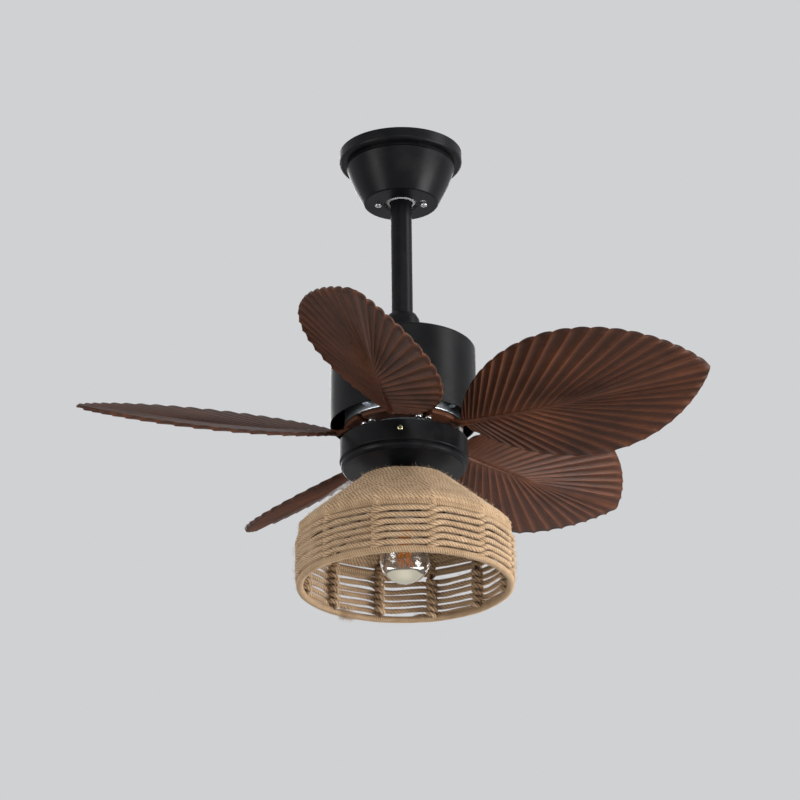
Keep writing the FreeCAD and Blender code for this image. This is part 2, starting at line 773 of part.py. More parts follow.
def rotor_lower_cover():
    """Bottom half of the motor case: thick floor for the blade screws and the lower bearing's seat."""
    seat_r = bearing_r + seat_gap
    boss_r = bearing_r + bearing_boss
    floor_z = rotor_low_z + rotor_floor
    boss_z = max(rotor_low_z + bearing_w, floor_z + seat_gap)
    cover = turned([
        (seat_r, boss_z), (boss_r, boss_z), (boss_r, floor_z), (rotor_bore_r, floor_z),
        (rotor_bore_r, rotor_split_z), (rotor_r, rotor_split_z), (rotor_r, rotor_low_z, fine_edge),
        (seat_r, rotor_low_z),
    ])
    thread_r = blade_screw_r + seat_gap
    holes = [Part.makeCylinder(thread_r, rotor_floor, p) for p in blade_screw_places(rotor_low_z)]
    return with_lugs(cover.cut(holes), rotor_low_z + rotor_floor, rotor_split_z)


def rotor_bolts():
    """Bolts through the lugs that close the rotor's case."""
    low_z = rotor_low_z + rotor_floor
    high_z = rotor_top_z - rotor_edge_round
    bolt = pan_head_screw(rotor_bolt_r, high_z - low_z, rotor_bolt_head_r, rotor_bolt_head_h)
    return ringed(aimed(bolt, V(lug_pitch_r, 0, high_z), UP), rotor_lugs, rotor_lug_phase)


def rotor_ring():
    """Conductor ring that turns about the stator."""
    return tube(core_ring_r, core_ring_bore_r, core_low_z, core_top_z)


def bearing(low_z):
    """Sealed ball bearing, running on the shaft."""
    high_z = low_z + bearing_w
    inner_r = shaft_r + running_gap
    inner_land = inner_r + bearing_land
    outer_land = bearing_r - bearing_land
    return turned([
        (inner_r, low_z), (inner_land, low_z), (inner_land, low_z + seal_depth),
        (outer_land, low_z + seal_depth), (outer_land, low_z), (bearing_r, low_z, bearing_edge),
        (bearing_r, high_z, bearing_edge), (outer_land, high_z), (outer_land, high_z - seal_depth),
        (inner_land, high_z - seal_depth), (inner_land, high_z), (inner_r, high_z),
    ])


def blade_azimuths():
    """Azimuths of the blades' tips at rest."""
    return around(blade_count, blade_phase)


def blade_screw_places(z):
    """Points of all blade screws at a level."""
    return [
        polar(blade_screw_pitch_r, a + tab_skew + side * blade_screw_angle, z)
        for a in blade_azimuths() for side in (-1, 1)
    ]


def sector(low_z, height):
    """Ring sector of the root tab of a blade that points along +X, with its two screw holes."""
    wedge = Part.makeCylinder(tab_outer_r, height, V(0, 0, low_z), UP, tab_half_angle * 2)
    wedge = turned_about_axis(wedge, -tab_half_angle)
    hole_r = blade_screw_r + seat_gap
    holes = [
        Part.makeCylinder(hole_r, height, polar(blade_screw_pitch_r, side * blade_screw_angle, low_z))
        for side in (-1, 1)
    ]
    ring = wedge.cut([Part.makeCylinder(tab_inner_r, height, V(0, 0, low_z))] + holes)
    return turned_about_axis(ring, tab_skew)


def leaf_frame():
    """Placement of a leaf on the +X axis: X along the tip line, -Y on the raised half, Z up."""
    pitch = FreeCAD.Rotation(ALONG_X, -blade_pitch)
    rise = FreeCAD.Rotation(ALONG_Y, -blade_rise)
    return FreeCAD.Placement(V(leaf_root_r, 0, leaf_root_z), rise.multiply(pitch))


def half_width(share, width, rounding, taper):
    """Leaf's half width at a share of its length: a power rise times a power fall, scaled to a peak."""
    peak = rounding / (rounding + taper)
    scale = peak ** rounding * (1 - peak) ** taper
    return width * share ** rounding * (1 - share) ** taper / scale


def midrib_point(x):
    """Point of the midrib in the leaf's frame: off the tip line at the root, and bowed down midway."""
    share = x / leaf_len
    return V(x, leaf_root_shift * (1 - share), -4 * keel_h * share * (1 - share))


def flat_faces(p, q, r, s, outward):
    """Two triangles of a quadrilateral, split from q to s, leaving out one with a side of no length."""
    faces = []
    for corners in ((p, q, s), (q, r, s)):
        a, b, c = corners if outward else corners[::-1]
        if min((a - b).Length, (b - c).Length, (c - a).Length) > 1e-6:
            faces.append(Part.Face(Part.makePolygon([a, b, c, a])))
    return faces


def leaf():
    """Pleated leaf sheet: straight veins fan out from the midrib, ridge and valley by turns."""
    lines = pleats * 2
    halves = (
        (-1, raised_half_w, raised_root, raised_tip),
        (1, lowered_half_w, lowered_root, lowered_tip),
    )
    lift = V(0, 0, leaf_t / 2)
    faces = []
    for side, width, rounding, taper in halves:
        veins = []
        for k in range(lines + 1):
            share = k / lines
            foot = midrib_point(leaf_len * midrib_reach * share ** vein_crowding)
            y = side * half_width(share, width, rounding, taper)
            ripple = pleat_h / 2 * (-1) ** k * min(1.0, abs(y) / (pleat_h * pleat_fade))
            veins.append((foot, V(leaf_len * share, y + leaf_root_shift * (1 - share), ripple)))
        raised = side < 0
        for (foot0, edge0), (foot1, edge1) in zip(veins, veins[1:]):
            faces += flat_faces(foot0 + lift, edge0 + lift, edge1 + lift, foot1 + lift, raised)
            faces += flat_faces(foot0 - lift, edge0 - lift, edge1 - lift, foot1 - lift, not raised)
            faces += flat_faces(edge0 + lift, edge1 + lift, edge1 - lift, edge0 - lift, not raised)
    shell = Part.Shell(faces)
    shell.sewShape()
    return Part.Solid(shell)


def cross_section(centre, width, height):
    """Upright rectangle across the X direction, about a point."""
    side = V(0, width / 2, 0)
    rise = V(0, 0, height / 2)
    corners = [centre - side - rise, centre + side - rise, centre + side + rise, centre - side + rise]
    return Part.makePolygon(corners + corners[:1])


def blade():
    """One moulded blade on the +X axis: root tab, neck with its midrib, and the pleated leaf."""
    frame = leaf_frame()
    sheet = leaf()
    sheet.Placement = frame
    root_x = tab_outer_r - neck_w / 3
    middle_z = (tab_top_z + tab_low_z) / 2
    root = turned_about_axis(cross_section(V(root_x, 0, middle_z), neck_w, tab_t), tab_skew)
    stations = [cross_section(midrib_point(neck_len - leaf_root_inset), midrib_w, midrib_h),
                cross_section(midrib_point(leaf_len * midrib_reach), midrib_tip_w, leaf_t + pleat_h)]
    for wire in stations:
        wire.Placement = frame
    neck = Part.makeLoft([root, stations[0]], True, True)
    rib = Part.makeLoft(stations, True, True)
    return sector(tab_low_z, tab_t).fuse([neck, rib, sheet])


def blade_gaskets():
    """Fibre pads between the motor and the blades' tabs."""
    return ringed(sector(tab_top_z, gasket_t), blade_count, blade_phase)


def blade_screws():
    """Two screws up through each blade's tab."""
    length = tab_t + gasket_t + blade_screw_bite
    screw = pan_head_screw(blade_screw_r, length, blade_screw_head_r, blade_screw_head_h)
    return [aimed(screw, p, -UP) for p in blade_screw_places(tab_low_z)]


def ear_radii():
    """Outer and inner radius of the plate's ears, just inside the pan."""
    outer = pan_bore_r - ear_gap
    return outer, outer - plate_t


def upright_ear(width, top_z, low_z):
    """Arm from the plate's edge to the pan's bore with an ear that hangs from its end."""
    outer, inner = ear_radii()
    half = width / 2
    ear = block(inner - half, outer, -half, half, low_z, top_z).common(tube(outer, inner, low_z, top_z))
    arm = block(arm_start_r, outer, -half, half, top_z - plate_t, top_z)
    return ear.fuse(arm.common(Part.makeCylinder(outer, plate_t, V(0, 0, top_z - plate_t))))


def light_plate():
    """Pressed plate on the shaft's shoulder with stepped ears for the pan's screws and an earth tab."""
    disc = tube(plate_r, shaft_foot_r + seat_gap, plate_low_z, plate_top_z)
    half = ear_width / 2
    step_z = plate_top_z - ear_step
    step = block(arm_start_r, arm_start_r + plate_t, -half, half, step_z, plate_top_z)
    arm = upright_ear(ear_width, step_z, plate_top_z - ear_h).fuse(step)
    earth = turned_about_axis(upright_ear(earth_width, plate_top_z, plate_top_z - earth_h), earth_phase)
    start = V(ear_radii()[1] - plate_t * 3, 0, pan_top_z - pan_screw_drop)
    hole = Part.makeCylinder(pan_screw_r + seat_gap, plate_t * 6, start, ALONG_X)
    plate = disc.fuse(ringed(arm.cut(hole), plate_ears, ear_phase) + [earth])
    thread_r = capacitor_screw_r + seat_gap
    return plate.cut(Part.makeCylinder(thread_r, plate_t, capacitor_screw_place(plate_low_z)))


def capacitor_screw_place(z):
    """Point of the capacitor's screw at a level, in the middle of its ear."""
    return polar(capacitor_r + capacitor_depth + capacitor_ear_len / 2, capacitor_azimuth, z)


def run_capacitor():
    """Moulded capacitor under the plate, held by one ear."""
    far_r = capacitor_r + capacitor_depth
    half = capacitor_width / 2
    outline = ((capacitor_r, -half), (far_r, -half), (far_r, half), (capacitor_r, half))
    corners = [V(x, y, plate_low_z - capacitor_h) for x, y in outline]
    case = Part.Face(rounded_wire(corners, [capacitor_round] * 4, True)).extrude(V(0, 0, capacitor_h))
    ear_low_z = plate_low_z - capacitor_ear_t
    ear_half = capacitor_ear_len / 2
    ear = block(far_r - ear_half, far_r + capacitor_ear_len, -ear_half, ear_half, ear_low_z, plate_low_z)
    body = turned_about_axis(case.fuse(ear), capacitor_azimuth)
    hole_r = capacitor_screw_r + seat_gap
    return body.cut(Part.makeCylinder(hole_r, capacitor_ear_t, capacitor_screw_place(ear_low_z)))


def capacitor_screw():
    """Screw up through the capacitor's ear into the plate."""
    length = capacitor_ear_t + plate_t
    screw = pan_head_screw(capacitor_screw_r, length, capacitor_screw_head_r, capacitor_screw_head_h)
    return aimed(screw, capacitor_screw_place(plate_low_z - capacitor_ear_t), -UP)


def shaft_nut():
    """Nut that clamps the plate on the shaft's foot."""
    return hexagon(shaft_nut_r, shaft_foot_r + seat_gap, plate_low_z - shaft_nut_h, shaft_nut_h)


def light_pan():
    """Shallow pan with a groove and a bead above its floor."""
    wall = sheet_wall
    groove_z = pan_low_z + pan_groove_up
    flare_z = groove_z + pan_groove_flare
    groove_r = pan_r - pan_groove_depth
    bead_z = pan_low_z + pan_bead_up
    lip_z = pan_low_z + pan_lip_up
    step_r = groove_r - wall
    hole_r = nipple_r + seat_gap
    pan = turned([
        (pan_bore_r, pan_top_z), (pan_r, pan_top_z), (pan_r, flare_z, pan_groove_flare / 2),
        (groove_r, groove_z), (groove_r, groove_z - pan_groove_w), (pan_bead_r, bead_z, pan_lip_inset),
        (pan_bead_r - pan_lip_inset, lip_z, pan_lip_round), (pan_foot_r, pan_low_z, pan_lip_round),
        (hole_r, pan_low_z), (hole_r, pan_low_z + wall), (pan_foot_r - wall, pan_low_z + wall),
        (step_r, lip_z + wall), (step_r, groove_z + wall), (pan_bore_r, flare_z + wall),
    ])
    z = pan_top_z - pan_screw_drop
    hole = Part.makeCylinder(pan_screw_r + seat_gap, wall * 6, V(pan_r - wall * 3, 0, z), ALONG_X)
    return pan.cut(ringed(hole, plate_ears, ear_phase))


def pan_screws():
    """Side screws from the pan into the plate's ears."""
    length = sheet_wall + ear_gap + plate_t + pan_screw_tail
    screw = pan_head_screw(pan_screw_r, length, pan_screw_head_r, pan_screw_head_h)
    side = aimed(screw, V(pan_r, 0, pan_top_z - pan_screw_drop), ALONG_X)
    return ringed(side, plate_ears, ear_phase)


def lamp_nipple():
    """Threaded tube that hangs the lamp holder from the pan's floor."""
    return tube(nipple_r, nipple_r - nipple_wall, pan_low_z - nipple_down, pan_low_z + nipple_up)


def nipple_nut():
    """Nut on the nipple, inside the pan."""
    return hexagon(nipple_nut_r, nipple_r + seat_gap, pan_low_z + sheet_wall, nipple_nut_h)


def holder_roof_z():
    """Underside of the holder's inner roof, above the centre contact."""
    return bulb_tip_z + centre_contact_h


def lamp_holder():
    """Moulded holder with a flange and an outside thread for the shade's nut."""
    flange_top = flange_seat_z + holder_flange_t
    hole_r = nipple_r + seat_gap
    edge = holder_edge_round
    return turned([
        (hole_r, pan_low_z), (holder_dome_r, pan_low_z, edge), (holder_r, pan_low_z - holder_dome_h, edge),
        (holder_r, flange_top), (holder_flange_r, flange_top, edge / 2), (holder_flange_r, flange_seat_z),
        (holder_r, flange_seat_z), (holder_r, holder_low_z), (holder_bore_r, holder_low_z),
        (holder_bore_r, holder_roof_z()), (hole_r, holder_roof_z()),
    ])


def lamp_contacts():
    """Screw shell and centre contact inside the holder."""
    shell_r = holder_bore_r - seat_gap
    roof = holder_roof_z()
    shell = tube(shell_r, cap_r + contact_shell_gap, holder_low_z + contact_shell_t, roof)
    centre = Part.makeCylinder(centre_contact_r, roof - bulb_tip_z, V(0, 0, bulb_tip_z))
    strap = Part.makeCylinder(nipple_r * 2, contact_shell_t, V(0, 0, roof - contact_shell_t))
    return [shell, centre.fuse(strap)]


def shade_nut():
    """Ring that clamps the shade's spider under the holder's flange."""
    low_z = spider_low_z - shade_nut_h
    half = shade_nut_notch / 2
    ring = tube(shade_nut_r, holder_r + seat_gap, low_z, spider_low_z)
    notch = block(shade_nut_r - half, shade_nut_r + half, -half, half, low_z, spider_low_z)
    return ring.cut(ringed(notch, shade_nut_notches))


def globe_outline(inset):
    """Half outline of the bulb's glass, its wall inset from the outside."""
    radius = bulb_r - inset
    neck = bulb_neck_r - inset
    a = math.radians(bulb_blend)
    join = V(radius * math.sin(a), 0, bulb_z + radius * math.cos(a))
    top = V(neck, 0, cap_low_z)
    b = (math.pi + a) / 2
    side = V(radius * math.sin(b), 0, bulb_z + radius * math.cos(b))
    return top, arc_from(top, -UP, join), Part.Arc(join, side, V(0, 0, bulb_z - radius)).toShape()


def bulb_glass():
    """Pear-shaped glass envelope, open at the neck."""
    outer_top, outer_neck, outer_globe = globe_outline(0)
    inner_top, inner_neck, inner_globe = globe_outline(bulb_wall)
    rim = Part.LineSegment(outer_top, inner_top).toShape()
    pole = Part.LineSegment(V(0, 0, bulb_low_z), V(0, 0, bulb_low_z + bulb_wall)).toShape()
    wire = Part.Wire(Part.__sortEdges__([outer_neck, outer_globe, pole, inner_globe, inner_neck, rim]))
    return Part.Face(wire).revolve(V(0, 0, 0), UP, 360)


def bulb_cap():
    """Screw cap with its insulator and end contact."""
    shoulder_z = bulb_tip_z - cap_tip_h
    return turned([
        (0, bulb_tip_z), (cap_tip_r, bulb_tip_z, cap_tip_h / 3), ((cap_tip_r + cap_r) / 2, shoulder_z),
        (cap_r, shoulder_z - cap_bevel), (cap_r, cap_low_z), (0, cap_low_z),
    ])


def stem_levels():
    """Levels of the stem's upper disc underside and lower disc top."""
    return cap_low_z - stem_disc_drop - stem_disc_t, cap_low_z - stem_len + stem_disc_t


def bulb_stem():
    """Glass post with the two discs that hold the filaments."""
    upper_z, lower_z = stem_levels()
    post = Part.makeCylinder(stem_r, stem_len, V(0, 0, cap_low_z - stem_len))
    upper = Part.makeCylinder(stem_disc_r, stem_disc_t, V(0, 0, upper_z))
    lower = Part.makeCylinder(stem_disc_r, stem_disc_t, V(0, 0, lower_z - stem_disc_t))
    return post.fuse([upper, lower])


def bulb_filaments():
    """Upright filaments between the stem's discs."""
    upper_z, lower_z = stem_levels()
    return [
        Part.makeCylinder(filament_r, upper_z - lower_z, polar(filament_pitch_r, a, lower_z))
        for a in around(filaments, filament_phase)
    ]


def shade_frame():
    """Welded wire frame: three rings, bent ribs and the spider that the holder clamps."""
    foot_z = shade_low_z
    line = [V(shade_top_r, 0, shade_top_z), V(shade_skirt_r, 0, shade_corner_z), V(shade_skirt_r, 0, foot_z)]
    path = rounded_wire(line, [0, shade_bend_r, 0], False)
    section = Part.Wire(Part.makeCircle(shade_rib_r, line[0], line[1] - line[0]))
    rib = path.makePipeShell([section], True, False)
    ring_r = shade_skirt_r + shade_ring_out
    rings = [
        Part.makeTorus(shade_top_r, shade_ring_r, V(0, 0, shade_top_z)),
        Part.makeTorus(ring_r, shade_ring_r, V(0, 0, shade_shoulder_z())),
        Part.makeTorus(ring_r, shade_ring_r, V(0, 0, foot_z)),
    ]
    half = spider_spoke_w / 2
    hub = tube(holder_r + seat_gap + spider_hub_w, holder_r + seat_gap, spider_low_z, flange_seat_z)
    spoke = block(holder_r + spider_hub_w / 2, shade_top_r, -half, half, spider_low_z, flange_seat_z)
    spokes = ringed(spoke, spider_spokes, shade_rib_phase)
    return rings[0].fuse(rings[1:] + ringed(rib, shade_ribs, shade_rib_phase) + spokes + [hub])


def shade_shoulder_z():
    """Level of the shoulder ring, just under the ribs' bend."""
    slope = math.atan2(shade_skirt_r - shade_top_r, shade_cone_h)
    return shade_corner_z - shade_bend_r * math.tan(slope / 2) - shoulder_ring_drop


def ring_binding(z, frame):
    """Cord bound tightly round a ring: a plain sleeve with the frame's wires cut out of it."""
    return Part.makeTorus(shade_binding_r, binding_r, V(0, 0, z)).cut(frame)


def cone_rope():
    """Rope wound close round the ribs' slanted part."""
    slope = math.atan2(shade_skirt_r - shade_top_r, shade_cone_h)
    off = shade_rib_r + rope_gap + rope_d / 2
    top = V(shade_top_r + off * math.cos(slope), 0, shade_top_z + off * math.sin(slope))
    run = V(shade_skirt_r - shade_top_r, 0, -shade_cone_h)
    start = top + run * cone_rope_start
    end = top + run * cone_rope_end
    return winding("shade_cone_rope", start.x, start.z, end.x, end.z, cone_rope_turns, rope_phase)


def skirt_rope():
    """Rope wound openly round the ribs' upright part, between the two bindings."""
    radius = shade_skirt_r + shade_rib_r + rope_gap + rope_d / 2
    room = binding_r + rope_d / 2 + skirt_rope_margin
    top_z = shade_shoulder_z() - room
    low_z = shade_low_z + room
    return winding("shade_skirt_rope", radius, top_z, radius, low_z, skirt_rope_turns, rope_phase)


def main():
    """Build every piece and write it under its node's name."""
    os.makedirs("parts", exist_ok=True)
    save("canopy", canopy())
    save("hanger_bracket", hanger_bracket())
    save("canopy_screws", canopy_screws())
    save("terminal_block", terminal_block())
    save("hanger_ball", hanger_ball())
    save("hanger_pin", hanger_pin())
    save("downrod", downrod())
    save("coupling_yoke", coupling_yoke())
    save("clevis_pin", clevis_pin())
    save("clevis_clip", clevis_clip())
    save("yoke_grub_screws", yoke_grub_screws())
    save("coupling_cover", coupling_cover())
    save("motor_housing", motor_housing())
    save("housing_screws", housing_screws())
    save("motor_shaft", motor_shaft())
    save("stator_core", stator_core())
    save("stator_coils", stator_coils())
    save("rotor_upper_cover", rotor_upper_cover())
    save("rotor_lower_cover", rotor_lower_cover())
    save("rotor_bolts", rotor_bolts())
    save("rotor_ring", rotor_ring())
    save("upper_bearing", bearing(rotor_top_z - bearing_w))
    save("lower_bearing", bearing(rotor_low_z))
    one_blade = blade()
    for number, azimuth in enumerate(blade_azimuths(), start=1):
        save(f"blade_{number}", turned_about_axis(one_blade, azimuth))
    save("blade_gaskets", blade_gaskets())
    save("blade_screws", blade_screws())
    save("light_plate", light_plate())
    save("run_capacitor", run_capacitor())
    save("capacitor_screw", capacitor_screw())
    save("shaft_nut", shaft_nut())
    save("light_pan", light_pan())
    save("pan_screws", pan_screws())
    save("lamp_nipple", lamp_nipple())
    save("nipple_nut", nipple_nut())
    save("lamp_holder", lamp_holder())
    save("lamp_contacts", lamp_contacts())
    save("shade_nut", shade_nut())
    save("bulb_glass", bulb_glass())
    save("bulb_cap", bulb_cap())
    save("bulb_stem", bulb_stem())
    save("bulb_filaments", bulb_filaments())
    frame = shade_frame()
    save("shade_frame", frame)
    save("shade_shoulder_binding", ring_binding(shade_shoulder_z(), frame))
    save("shade_bottom_binding", ring_binding(shade_low_z, frame))
    save("shade_cone_rope", cone_rope())
    save("shade_skirt_rope", skirt_rope())


main()
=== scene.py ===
"""Looks of the ceiling fan: pleated leaf blades, a rope-wound shade, its lamp and every surface's finish.

Metres, +Z up, origin on the ceiling at the fan's axis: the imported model's own frame.
"""

import logging
import math
from dataclasses import dataclass, field
from enum import Enum
from typing import Sequence

import bmesh
import bpy
import numpy as np
from mathutils import Matrix, Vector


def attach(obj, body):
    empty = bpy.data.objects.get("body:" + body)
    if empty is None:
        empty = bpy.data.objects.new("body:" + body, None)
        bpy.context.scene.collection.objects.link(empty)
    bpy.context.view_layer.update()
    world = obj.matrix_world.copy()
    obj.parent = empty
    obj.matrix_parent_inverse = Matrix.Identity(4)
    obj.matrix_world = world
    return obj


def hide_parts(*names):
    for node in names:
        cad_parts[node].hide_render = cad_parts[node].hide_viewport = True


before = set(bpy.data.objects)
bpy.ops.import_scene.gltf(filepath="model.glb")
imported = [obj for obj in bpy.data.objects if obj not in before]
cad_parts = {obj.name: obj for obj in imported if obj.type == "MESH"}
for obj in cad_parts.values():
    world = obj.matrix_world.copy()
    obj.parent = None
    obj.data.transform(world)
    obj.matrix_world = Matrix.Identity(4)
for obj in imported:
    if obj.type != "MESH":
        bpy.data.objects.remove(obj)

LOG = logging.getLogger("ceiling_fan")
MM = 0.001
TURN = 2 * math.pi
SEEING_RAYS = ("Camera", "Glossy", "Transmission")
Array = np.ndarray
Socket = bpy.types.NodeSocket
Colour = tuple | Socket


class Body(Enum):
    """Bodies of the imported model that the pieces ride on."""

    DROP = "drop"
    ROTOR = "rotor"


class Grain(Enum):
    """How a metal's surface was worked: stretch, scale and depth of its marks."""

    BRUSHED = ((1, 1, 40), 60.0, 0.03 * MM)
    CAST = ((1, 1, 1), 900.0, 0.12 * MM)
    PLATED = ((1, 1, 1), 300.0, 0.02 * MM)


class Value:
    """A shader value as a Python expression: each operator adds one Math node."""

    def __init__(self, shader: "Shader", socket: Socket) -> None:
        """Wrap a socket of a shader's tree."""
        self.shader = shader
        self.socket = socket

    def math(self, operation: str, *others: "Value | float", reflected: bool = False) -> "Value":
        """Add a Math node.

        Args:
            operation: Blender's name of the operation.
            others: The further operands.
            reflected: Whether this value comes last.

        Returns:
            The node's result.
        """
        operands = (*others, self) if reflected else (self, *others)
        made = self.shader.node("ShaderNodeMath", {"operation": operation}, dict(enumerate(operands)))
        return Value(self.shader, made.outputs[0])

    def __add__(self, other: "Value | float") -> "Value":
        """Sum."""
        return self.math("ADD", other)

    def __radd__(self, other: float) -> "Value":
        """Sum with a number first."""
        return self.math("ADD", other, reflected=True)

    def __sub__(self, other: "Value | float") -> "Value":
        """Difference."""
        return self.math("SUBTRACT", other)

    def __rsub__(self, other: float) -> "Value":
        """Difference from a number."""
        return self.math("SUBTRACT", other, reflected=True)

    def __mul__(self, other: "Value | float") -> "Value":
        """Product."""
        return self.math("MULTIPLY", other)

    def __rmul__(self, other: float) -> "Value":
        """Product with a number first."""
        return self.math("MULTIPLY", other, reflected=True)

    def swing(self, spread: float) -> "Value":
        """The value's departure from one half, scaled."""
        return (self - 0.5) * spread

    def clamped(self) -> "Value":
        """The value held between 0 and 1."""
        return self.math("MAXIMUM", 0.0).math("MINIMUM", 1.0)

    def between(self, low: float, high: float) -> "Value":
        """Smooth step from 0 at low to 1 at high."""
        made = self.shader.node(
            "ShaderNodeMapRange",
            {"interpolation_type": "SMOOTHSTEP"},
            {"Value": self, "From Min": low, "From Max": high},
        )
        return Value(self.shader, made.outputs[0])


class Shader:
    """The node tree of one material, with a single principled surface."""

    def __init__(self, name: str) -> None:
        """Start an empty tree with an output and a principled shader.

        Args:
            name: The material's name.
        """
        self.material = bpy.data.materials.new(name)
        self.material.use_nodes = True
        self.tree = self.material.node_tree
        self.tree.nodes.clear()
        output = self.node("ShaderNodeOutputMaterial")
        self.surface = self.node("ShaderNodeBsdfPrincipled")
        self.feed(output, {"Surface": self.surface.outputs[0]})

    def node(self, kind: str, settings: dict | None = None, inputs: dict | None = None) -> bpy.types.Node:
        """Add a node of any type.

        Args:
            kind: Blender's node type.
            settings: Properties that are set first; "stops" are a ramp's (place, colour) pairs.
            inputs: Values or links by socket name or number.

        Returns:
            The new node.
        """
        made = self.tree.nodes.new(kind)
        for key, value in (settings or {}).items():
            if key == "stops":
                self._set_stops(made.color_ramp, value)
            else:
                setattr(made, key, value)
        self.feed(made, inputs or {})
        return made

    def feed(self, target: bpy.types.Node, inputs: dict) -> None:
        """Set or link sockets of a node.

        Args:
            target: The node.
            inputs: Values or links by socket name or number.
        """
        for key, value in inputs.items():
            socket = target.inputs[key]
            if isinstance(value, Value):
                self.tree.links.new(value.socket, socket)
            elif isinstance(value, Socket):
                self.tree.links.new(value, socket)
            else:
                socket.default_value = value

    @staticmethod
    def _set_stops(ramp: bpy.types.ColorRamp, stops: Sequence[tuple[float, tuple]]) -> None:
        """Give a ramp its stops.

        Args:
            ramp: The ramp.
            stops: A place and a colour for each stop.
        """
        while len(ramp.elements) < len(stops):
            ramp.elements.new(1.0)
        for element, (place, colour) in zip(ramp.elements, stops):
            element.position = place
            element.color = (*colour, 1.0)

    def mapped(self, output: str, scale: tuple) -> Socket:
        """One output of the texture coordinates, scaled.

        Args:
            output: Object or UV.
            scale: Factors on the three coordinates.

        Returns:
            The scaled coordinates.
        """
        coordinates = self.node("ShaderNodeTexCoord")
        mapping = self.node(
            "ShaderNodeMapping", None, {"Vector": coordinates.outputs[output], "Scale": scale}
        )
        return mapping.outputs[0]

    def place(self, scale: tuple = (1, 1, 1)) -> Socket:
        """The piece's Object coordinates, scaled."""
        return self.mapped("Object", scale)

    def along(self, scale: tuple) -> Socket:
        """The piece's own UV coordinates, scaled."""
        return self.mapped("UV", scale)

    def seen(self) -> Value:
        """Tell the rays that see the surroundings themselves from the rest.

        Returns:
            One for camera, glossy and transmission rays, nought for the rest.
        """
        rays = self.node("ShaderNodeLightPath").outputs
        camera, glossy, through = (Value(self, rays[f"Is {name} Ray"]) for name in SEEING_RAYS)
        return camera.math("MAXIMUM", glossy).math("MAXIMUM", through)

    def noise(
        self, vector: Socket, scale: float, detail: float = 3.0, rough: float = 0.5
    ) -> Value:
        """Fractal noise, about 0.5."""
        made = self.node(
            "ShaderNodeTexNoise", None,
            {"Vector": vector, "Scale": scale, "Detail": detail, "Roughness": rough},
        )
        return Value(self, made.outputs["Fac"])

    def attribute(self, name: str) -> Value:
        """A number kept on the piece's points."""
        made = self.node("ShaderNodeAttribute", {"attribute_name": name})
        return Value(self, made.outputs["Fac"])

    def axis(self, name: str) -> Value:
        """One Object coordinate.

        Args:
            name: X, Y or Z.

        Returns:
            The coordinate in metres.
        """
        coordinates = self.node("ShaderNodeTexCoord")
        parts = self.node("ShaderNodeSeparateXYZ", None, {0: coordinates.outputs["Object"]})
        return Value(self, parts.outputs[name])

    def mix(self, share: Value, first: Colour, second: Colour) -> Socket:
        """Mix two colours.

        Args:
            share: How much of the second colour shows.
            first: Colour or socket.
            second: Colour or socket.

        Returns:
            The mixed colour's socket.
        """
        first_in, second_in, colour_out = 6, 7, 2
        colours = {first_in: first, second_in: second}
        inputs = {k: (*c, 1.0) if isinstance(c, tuple) else c for k, c in colours.items()}
        made = self.node(
            "ShaderNodeMix", {"data_type": "RGBA", "clamp_factor": True}, {"Factor": share, **inputs}
        )
        return made.outputs[colour_out]

    def ramp(self, value: Value, places: Sequence[float], *colours: tuple) -> Socket:
        """Colour ramp over a value, with a colour at each place."""
        stops = tuple(zip(places, colours))
        return self.node("ShaderNodeValToRGB", {"stops": stops}, {"Fac": value}).outputs[0]

    def bump(self, height: Value, distance: float, strength: float) -> Socket:
        """Normal of a bumped surface; the distance is in metres."""
        made = self.node(
            "ShaderNodeBump", None, {"Height": height, "Distance": distance, "Strength": strength}
        )
        return made.outputs[0]

    def set(self, **sockets: object) -> None:
        """Set or link the principled shader's sockets.

        Args:
            sockets: Values or links by socket name in snake case.
        """
        special = {"ior": "IOR", "specular_ior_level": "Specular IOR Level"}
        named = {special.get(k, k.replace("_", " ").title()): v for k, v in sockets.items()}
        self.feed(self.surface, named)


class Surroundings(Shader):
    """The node tree of the world, with two plain lights told apart by the kind of ray."""

    def __init__(self, name: str, ambient: tuple, background: tuple) -> None:
        """Light the world.

        Args:
            name: The world's name.
            ambient: Light that falls on the pieces.
            background: Light that camera, glossy and transmission rays see.
        """
        self.world = bpy.data.worlds.new(name)
        self.world.use_nodes = True
        self.tree = self.world.node_tree
        self.tree.nodes.clear()
        dim, pale = (
            self.node("ShaderNodeBackground", None, {"Color": (*colour, 1.0)}).outputs[0]
            for colour in (ambient, background)
        )
        mixed = self.node("ShaderNodeMixShader", None, {0: self.seen(), 1: dim, 2: pale})
        self.node("ShaderNodeOutputWorld", None, {"Surface": mixed.outputs[0]})


def shaded(colour: tuple, share: float) -> tuple:
    """A colour at a share of its brightness."""
    return tuple(c * share for c in colour)


@dataclass(frozen=True)
class Finish:
    """A named surface finish."""

    name: str

    def paint(self, shader: Shader) -> None:
        """Build the finish in a shader's tree."""
        raise NotImplementedError

    def material(self) -> bpy.types.Material:
        """The finish's material, made once.

        Returns:
            The material, new at the first call.
        """
        known = bpy.data.materials.get(self.name)
        if known is not None:
            return known
        shader = Shader(self.name)
        self.paint(shader)
        return shader.material


